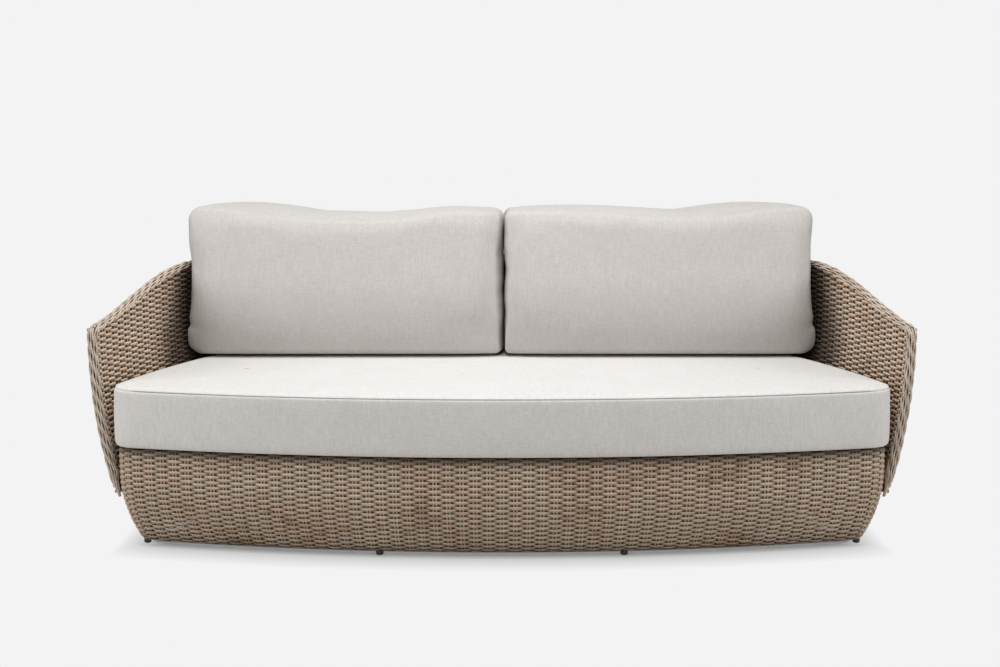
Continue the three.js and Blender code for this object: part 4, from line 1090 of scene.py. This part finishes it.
highs = [seat_count - r for r in rear_ids] + [half_count - 1] + rear_ids[::-1]


def ordered_loop(values, first):
    """A ring's indices counted from its leftmost front pair, so that pairs run left to right."""
    return [(v - first) % seat_count for v in values]


first_index = lows[0]
seat_rings = [np.roll(ring, -first_index, axis=0) for ring in seat_rings]
seat_pairs = (ordered_loop(lows, first_index), ordered_loop(highs, first_index))
seat = closed_rings("seat_cushion_cover", seat_rings, seat_pairs)
print("seat cover has", len(seat.data.vertices), "points")

# %% Fill the seat
bottom_rings = [0, 1, 2, 3, 4, 5]
sewn_rings = [SEAM_RING - 1, SEAM_RING, SEAM_RING + 1]
blow_up(seat, bottom_rings + sewn_rings, seat_count, cap=0.0015, pressure=1.5)


def kept_inside(cover, limits):
    """Moves points back inside limits, a function that takes and returns an array of places."""
    set_places(cover, limits(places_of(cover)))


def under_cushions(places):
    """The back cushions press the seat's top flat."""
    places[:, 2] = np.minimum(places[:, 2], SEAT_TOP + SEAT_CROWN)
    return places


kept_inside(seat, under_cushions)

# %% Seams and finish
# between these distances from the middle the painted shade in the seam fades out
SEAM_FADES = (0.93, 1.0)


def press_seam(cover, ring, count, depth):
    """Pushes a sewn line inward along the cover's own normals, and marks it for the cloth's painted
    shade in the seam.
    """
    cover.data.update()
    line = range(ring * count, (ring + 1) * count)
    normals = {v: cover.data.vertices[v].normal.copy() for v in line}
    marks = cover.data.attributes.new("seam", "FLOAT", "POINT")
    for v, way in normals.items():
        cover.data.vertices[v].co -= way * depth
        fading = smooth_step(abs(cover.data.vertices[v].co.x), *SEAM_FADES)
        marks.data[v].value = 1.0 - 0.75 * float(fading)


def finish_cover(cover, body, node, material):
    """One subdivision, smooth shading, finish and the frame's own calls."""
    finer = cover.modifiers.new("finer", "SUBSURF")
    finer.levels = 1
    finer.render_levels = 1
    shaped = cover.evaluated_get(bpy.context.evaluated_depsgraph_get())
    mesh = bpy.data.meshes.new_from_object(shaped)
    cover.modifiers.remove(finer)
    cover.data = mesh
    for face in mesh.polygons:
        face.use_smooth = True
    mesh.materials.clear()
    mesh.materials.append(material)
    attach(cover, body)
    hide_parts(node)
    print(cover.name, "has", sum(len(p.vertices) - 2 for p in mesh.polygons), "triangles")


print("seams fade between", *SEAM_FADES, "m from the middle")

# %% [markdown]
# ## Cushion cloth
# The covers are an outdoor fabric of spun yarn dyed in the mass, woven plain. Thick and thin
# places in the yarn show as short pale and dark slubs, mostly upright, over a weave too fine for
# the camera. The slubs are drawn about 3 mm wide and 3 cm long. A picture of cloth could be laid
# on instead, but noise stretched along one axis needs no unwrapping and never repeats. A soft
# sheen stands for the loose fibre ends.

# %% Cloth material


def cloth_material(name, pale, deep, slub_contrast):
    """Plain-woven spun yarn: heathered colour, matt, with upright slubs and a fine weave bump."""
    made = bpy.data.materials.new(name)
    tree = clear_tree(made)
    place = add(tree, "ShaderNodeTexCoord").outputs["Object"]
    slubs = []
    for stretch, detail, roughness in (((330.0, 34.0, 34.0), 3.0, 0.6),
                                       ((60.0, 420.0, 420.0), 2.0, 0.5)):
        spot = add(tree, "ShaderNodeVectorMath", {0: place, 1: stretch}, operation="MULTIPLY")
        noise = add(tree, "ShaderNodeTexNoise",
                    {"Vector": spot, "Scale": 1.0, "Detail": detail, "Roughness": roughness})
        slubs.append(noise.outputs["Fac"])
    cloudy = add(tree, "ShaderNodeTexNoise", {"Vector": place, "Scale": 9.0, "Detail": 2.0})
    threads = add(tree, "ShaderNodeMath", {0: slubs[0], 1: slubs[1]})
    cloud = add(tree, "ShaderNodeMath", {0: cloudy.outputs["Fac"], 1: 0.25}, operation="MULTIPLY")
    both = add(tree, "ShaderNodeMath", {0: threads, 1: cloud})
    half = slub_contrast / 2
    spread = add(tree, "ShaderNodeMapRange",
                 {"Value": both, "From Min": 1.12 - half, "From Max": 1.12 + half})
    heathered = add(tree, "ShaderNodeMixRGB",
                    {"Fac": spread, "Color1": linear(deep), "Color2": linear(pale)})
    # the sewn line is a groove about 2 mm wide, darkened: painted shade in the seam
    sewn = add(tree, "ShaderNodeAttribute", attribute_name="seam").outputs["Fac"]
    seam_shade = add(tree, "ShaderNodeMapRange", {"Value": sewn, "From Min": 0.25, "From Max": 0.7})
    colour = add(tree, "ShaderNodeMixRGB",
                 {"Fac": seam_shade, "Color1": heathered, "Color2": linear("857f79")})
    weave_bump = add(tree, "ShaderNodeBump",
                     {"Height": threads, "Strength": 0.25, "Distance": 0.0006})
    surface = add(tree, "ShaderNodeBsdfPrincipled",
                  {"Base Color": colour, "IOR": 1.45, "Roughness": 0.92, "Normal": weave_bump,
                   "Sheen Weight": 0.15, "Sheen Roughness": 0.5, "Specular IOR Level": 0.2})
    add(tree, "ShaderNodeOutputMaterial", {"Surface": surface})
    return made


SLUB_CONTRAST = 0.7
seat_cloth = cloth_material("spun_outdoor_fabric_seat", "e5e3e1", "d0cdca", SLUB_CONTRAST)
back_cloth = cloth_material("spun_outdoor_fabric_back", "cdc9c6", "b9b5b1", SLUB_CONTRAST)
press_seam(seat, SEAM_RING, seat_count, depth=0.0026)
finish_cover(seat, "seat_cushion", "seat_cushion", seat_cloth)

# %% [markdown]
# ## Back cushions
# Two loose cushions lean on the shell's back. Each is filled with fibre, so its front is full in
# the middle, its top corners stand up as soft ears, and its outer side is drawn in at half height
# and bulges low down. Their covers close with a seam round the middle of the side. Where the two
# meet, both sides bend one way, so that no light shows between them.

# %% Back cushion width
BACK_FRONT_Y = 0.158
BACK_HEIGHT = 0.438
BACK_DEPTH = 0.222
BACK_LEAN = math.radians(10)
BACK_BOTTOM = SEAT_TOP + SEAT_CROWN + 0.0006
BACK_INNER_X = 0.003
BACK_END_GAP = 0.003


def outline_x_at(y, out, samples):
    """Where the outline, moved outward, crosses lines of constant y on the right."""
    place, _ = on_plan(np.linspace(ARC_STARTS[1], HALF_LOOP, samples), out)
    keep = place[:, 1] < REAR_REACH + out - 1e-4
    return np.interp(y, place[keep, 1], place[keep, 0])


def back_width_at(deep):
    rim_y = BACK_FRONT_Y + deep + (BACK_RIM - BACK_BOTTOM) * math.tan(BACK_LEAN)
    rim_x = float(outline_x_at(rim_y, float(shell_inner(BACK_RIM)), 3000))
    return rim_x - BACK_END_GAP - BACK_INNER_X


BACK_WIDTH = back_width_at(0.0)
spine_half = (BACK_WIDTH - BACK_HEIGHT) / 2
level_x = np.linspace(BACK_WIDTH / 2 - spine_half, BACK_WIDTH / 2 + spine_half, 22)
print("back cushion is", round(BACK_WIDTH, 3), "m wide")

# %% Back cushion sides


def soft_side(x_edge, inward, low_radius, top_radius):
    """Points up one side of the outline with round corners, from spine end to spine end."""
    start = level_x[-1] if inward < 0 else level_x[0]
    points = [(start, 0.0)]
    middle_x = x_edge + inward * low_radius
    points += [(start + (middle_x - start) * s, 0.0) for s in (0.33, 0.66, 1.0)]
    for a in np.linspace(0, math.pi / 2, 7)[1:]:
        points.append((middle_x - inward * low_radius * math.sin(a),
                       low_radius * (1 - math.cos(a))))
    for s in np.linspace(0, 1, 41)[1:-1]:
        points.append((x_edge, low_radius + (BACK_HEIGHT - low_radius - top_radius) * s))
    top_x = x_edge + inward * top_radius
    for a in np.linspace(0, math.pi / 2, 8):
        points.append((top_x - inward * top_radius * math.cos(a),
                       BACK_HEIGHT - top_radius * (1 - math.sin(a))))
    points += [(top_x + (start - top_x) * s, BACK_HEIGHT) for s in (0.33, 0.66, 1.0)]
    return points


print("a soft side has", len(soft_side(0.0, 1, low_radius=0.018, top_radius=0.024)), "points")

# %% [markdown]
# ## How the back cushions sag
# No two loose cushions sag alike. Each one's top line is a short table of heights, its outer side
# bulges low down and folds where the filling rests on the seat, and the sides that meet are a
# little wavy. Random noise would be quicker, but the tables put each dip where it is seen.

# %% Back cushion outline
# how much the top line stands up or sags, from the inner end (0) to the outer end (1)
TOP_LINE = {
    "right": [(0, -0.006), (0.05, -0.004), (0.155, 0.0), (0.27, -0.003), (0.38, -0.007),
              (0.495, -0.015), (0.61, -0.020), (0.72, -0.010), (0.835, 0.005), (0.93, 0.009),
              (1, 0.007)],
    "left": [(0, -0.006), (0.07, -0.004), (0.185, -0.001), (0.30, -0.019), (0.41, -0.026),
             (0.52, -0.026), (0.64, -0.023), (0.75, -0.010), (0.864, 0.004), (0.94, 0.008),
             (1, 0.007)],
}
# the outer side folds a little where the filling sags onto the seat
FOLD_UP = 0.215
FOLD_DEEP = 0.006
LOW_BULGE = 0.017
# the outer side's draw-in, and how far the upper ear bulges out over the rim
OUTER_SIDE = {"right": (0.005, 0.0), "left": (0.0, 0.008)}


def bump(value, middle, width):
    return np.exp(-((value - middle) / width) ** 2)


def back_outline(side):
    """The cushion's outline from its lower inner end: ears, sag, draw-in, fold and low bulge."""
    outer = soft_side(BACK_WIDTH, -1, low_radius=0.034, top_radius=0.036)
    inner = soft_side(0.0, 1, low_radius=0.018, top_radius=0.024)[::-1]
    low = [(x, 0.0) for x in level_x[1:-1]]
    top = [(x, BACK_HEIGHT) for x in level_x[1:-1][::-1]]
    raw = np.array([inner[-1]] + low + outer + top + inner[:-1])
    across, up = raw[:, 0] / BACK_WIDTH, raw[:, 1] / BACK_HEIGHT
    places, heights = zip(*TOP_LINE[side])
    fine = np.linspace(0, 1, 201)
    line = np.interp(fine, places, heights)
    blur = np.hanning(25) / np.hanning(25).sum()
    line = np.convolve(np.pad(line, 12, mode="edge"), blur, "valid")
    y = raw[:, 1] + smooth_step(up, 0.55, 1) * np.interp(across, fine, line)
    near_outer = np.maximum(2 * across - 1, 0) ** 8
    near_inner = np.maximum(1 - 2 * across, 0) ** 8
    draw_in, ear_out = OUTER_SIDE[side]
    fold = FOLD_DEEP * bump(up, FOLD_UP, 0.020)
    outer_move = -draw_in * np.sin(math.pi * up) + LOW_BULGE * bump(up, 0.13, 0.19) - fold
    outer_move += ear_out * smooth_step(up, 0.62, 0.80)
    wobble = 0.0010 * np.sin(19 * up + (1 if side == "left" else 3)) + 0.0008 * np.sin(47 * up)
    inner_move = 0.007 * bump(up, 0.55, 0.25) + wobble * np.sin(math.pi * up)
    x = raw[:, 0] + outer_move * near_outer + inner_move * near_inner
    low_ids = list(range(len(level_x)))
    high_first = len(level_x) - 1 + len(outer) - 1
    high_ids = [high_first + i for i in range(len(level_x))]
    return np.column_stack([x, y]), low_ids, high_ids[::-1]


outlines = {side: back_outline(side) for side in ("right", "left")}
print("points round each cushion:", [len(outline[0]) for outline in outlines.values()])

# %% Back cushion rings
BACK_FRONT_ROUND = 0.021
TOP_ROUND_SHARE = 0.45
LOW_ROUND_SHARE = 0.90
BACK_REAR_ROUND = 0.058
BACK_SEAM_DEEP = 0.085
BELLY = 0.066
BELLY_TOP = 0.245
ROLL_BACK = 0.007
ROLL_BACK_HEIGHT = 0.050
SIDE_SET_BACK = 0.018
SIDE_SET_BACK_WIDTH = 0.16


def belly(x, up):
    """How far the filling pushes the front forward: it rolls under low down and back at the top."""
    low = np.clip(1 - up / BELLY_TOP, 0, 1)
    high = np.clip(1 - (BACK_HEIGHT - up) / ROLL_BACK_HEIGHT, 0, 1)
    edge = np.clip(1 - np.minimum(x, BACK_WIDTH - x) / SIDE_SET_BACK_WIDTH, 0, 1)
    near_outer = np.clip(1 - (BACK_WIDTH - x) / 0.06, 0, 1)
    fold_up = FOLD_UP - 0.03 * (1 - near_outer)
    fold = FOLD_DEEP * bump(up / BACK_HEIGHT, fold_up, 0.022) * near_outer
    return BELLY * (1 - low ** 2) - ROLL_BACK * high ** 2.4 - SIDE_SET_BACK * edge ** 2.8 - fold


def back_ring(outline, inset, deep, share):
    inner = inset * 0.4
    x = inner + outline[:, 0] * (1 - (inset + inner) / BACK_WIDTH) - BACK_WIDTH / 2
    low_inset, top_inset = inset * LOW_ROUND_SHARE, inset * TOP_ROUND_SHARE
    y = low_inset + outline[:, 1] * (1 - (low_inset + top_inset) / BACK_HEIGHT) - BACK_HEIGHT / 2
    x = x * (1 - share) + np.clip(x, -spine_half, spine_half) * share
    y = y * (1 - share)
    up = y + BACK_HEIGHT / 2
    forward = belly(x + BACK_WIDTH / 2, up) * max(0.0, 1 - deep / BACK_SEAM_DEEP)
    return np.column_stack([
        BACK_INNER_X + back_width_at(deep) * (x / BACK_WIDTH + 0.5),
        BACK_FRONT_Y + deep - forward + up * math.sin(BACK_LEAN),
        BACK_BOTTOM + up * math.cos(BACK_LEAN),
    ])


back_profile = [(BACK_FRONT_ROUND, 0, s)
                for s in (0.95, 0.86, 0.76, 0.66, 0.56, 0.46, 0.36, 0.27, 0.19, 0.12, 0.05)]
FRONT_RINGS = len(back_profile)
back_profile += [(BACK_FRONT_ROUND * (1 - math.sin(a)), BACK_FRONT_ROUND * (1 - math.cos(a)), 0)
                 for a in np.linspace(0, math.pi / 2, 6)]
back_profile += [(0, d, 0) for d in (0.042, 0.058, 0.072, BACK_SEAM_DEEP - 0.002, BACK_SEAM_DEEP,
                                     BACK_SEAM_DEEP + 0.002, 0.098, 0.114, 0.130, 0.147)]
back_profile += [(BACK_REAR_ROUND * (1 - math.cos(a)),
                  BACK_DEPTH - BACK_REAR_ROUND * (1 - math.sin(a)), 0)
                 for a in np.linspace(0, math.pi / 2, 7)]
back_profile += [(BACK_REAR_ROUND, BACK_DEPTH + 0.008 * min(1, s * 1.6), s)
                 for s in (0.1, 0.25, 0.42, 0.6, 0.78, 0.93)]
BACK_SEAM_RING = FRONT_RINGS + 6 + 4
print("back cushion rings:", len(back_profile))

# %% Fill the back cushions


FACE_LOW, FACE_HIGH = 0.022, 0.036
EAR_OUT, EAR_BACK = 0.016, 0.10


def shell_room(places):
    """Keeps a right-hand cushion off the shell, off its twin and on the seat."""
    x, y, z = places.T
    inside = shell_inner(np.clip(z, 0.45, BACK_RIM)) - BACK_END_GAP
    narrow, wide = (outline_x_at(y, out, 2000) for out in (FACE_LOW, FACE_HIGH))
    limit = narrow + (wide - narrow) * (inside - FACE_LOW) / (FACE_HIGH - FACE_LOW)
    over_rim = smooth_step(z, BACK_RIM + 0.002, BACK_RIM + 0.045)
    places[:, 0] = np.clip(x, 0.0012, limit + EAR_OUT * over_rim)
    places[:, 1] = np.minimum(y, REAR_REACH + inside + EAR_BACK * over_rim)
    places[:, 2] = np.maximum(z, BACK_BOTTOM)
    return places


BEND = 0.010
BEND_Y = 0.29
BEND_FADES = 0.09


def leaned(places):
    """Where the two cushions meet, their sides bend one way together, so no light comes through."""
    near = np.clip(1 - np.abs(places[:, 0]) / BEND_FADES, 0, 1) ** 2
    bend = BEND * bump(places[:, 1], BEND_Y, 0.065) + 0.0012 * np.sin(places[:, 2] / 0.021)
    places[:, 0] += bend * near
    return places


for side_name, side in [("right", 1), ("left", -1)]:
    to_side = np.array([side, 1, 1])
    outline, low_ids, high_ids = outlines[side_name]
    rings = [back_ring(outline, *spot) * to_side for spot in back_profile]
    cover = closed_rings(f"back_cushion_cover_{side_name}", rings, (low_ids, high_ids))
    sewn_rings = [BACK_SEAM_RING - 1, BACK_SEAM_RING, BACK_SEAM_RING + 1]
    blow_up(cover, sewn_rings, len(outline), cap=0.007, pressure=3.0)
    kept_inside(cover, lambda places: leaned(shell_room(places * to_side) * to_side))
    press_seam(cover, BACK_SEAM_RING, len(outline), depth=0.003)
    finish_cover(cover, f"back_cushion_{side_name}", f"back_cushion_{side_name}",
                 back_cloth)

# %% [markdown]
# ## Metal and plastic of the frame
# What carries the sofa is hidden or nearly so: powder-coated aluminium tubes and bars, a few
# stainless bolts and eight black nylon glides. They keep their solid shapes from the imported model
# and only get their finishes: a fine orange-peel on the powder coat, a brushed grain on the bolts,
# and a slightly scuffed satin on the nylon.

# %% Frame materials


def coated_material(name, colour, worn, roughness, metallic, grain_size, bump_depth):
    """A finish with a slight change of tone and a fine bump of the given grain size in metres."""
    made = bpy.data.materials.new(name)
    tree = clear_tree(made)
    place = add(tree, "ShaderNodeTexCoord").outputs["Object"]
    drift = add(tree, "ShaderNodeTexNoise", {"Vector": place, "Scale": 25.0, "Detail": 3.0})
    fine = add(tree, "ShaderNodeTexNoise",
               {"Vector": place, "Scale": 1 / grain_size, "Detail": 1.0})
    tint = add(tree, "ShaderNodeMixRGB",
               {"Fac": drift.outputs["Fac"], "Color1": linear(colour), "Color2": linear(worn)})
    relief = add(tree, "ShaderNodeBump",
                 {"Height": fine.outputs["Fac"], "Strength": 0.3, "Distance": bump_depth})
    rough = add(tree, "ShaderNodeMapRange",
                {"Value": drift.outputs["Fac"], "To Min": roughness - 0.06,
                 "To Max": roughness + 0.06})
    surface = add(tree, "ShaderNodeBsdfPrincipled",
                  {"Base Color": tint, "Roughness": rough, "Metallic": metallic, "Normal": relief})
    add(tree, "ShaderNodeOutputMaterial", {"Surface": surface})
    return made


powder_coat = coated_material("powder_coated_aluminium", "6b6056", "75695e", roughness=0.5,
                              metallic=0.0, grain_size=0.0008, bump_depth=0.0002)
stainless = coated_material("brushed_stainless_steel", "b9bbbd", "a4a6a8", roughness=0.32,
                            metallic=1.0, grain_size=0.0006, bump_depth=0.0001)
black_nylon = coated_material("moulded_black_nylon", "1d1c1b", "282726", roughness=0.55,
                              metallic=0.0, grain_size=0.0010, bump_depth=0.0002)
for node_name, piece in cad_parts.items():
    if node_name.startswith("foot_"):
        finish = black_nylon
    elif node_name.startswith("shell_bolt"):
        finish = stainless
    else:
        finish = powder_coat
    if not piece.hide_render:
        piece.data.materials.clear()
        piece.data.materials.append(finish)
print("finishes given to the frame's own pieces")
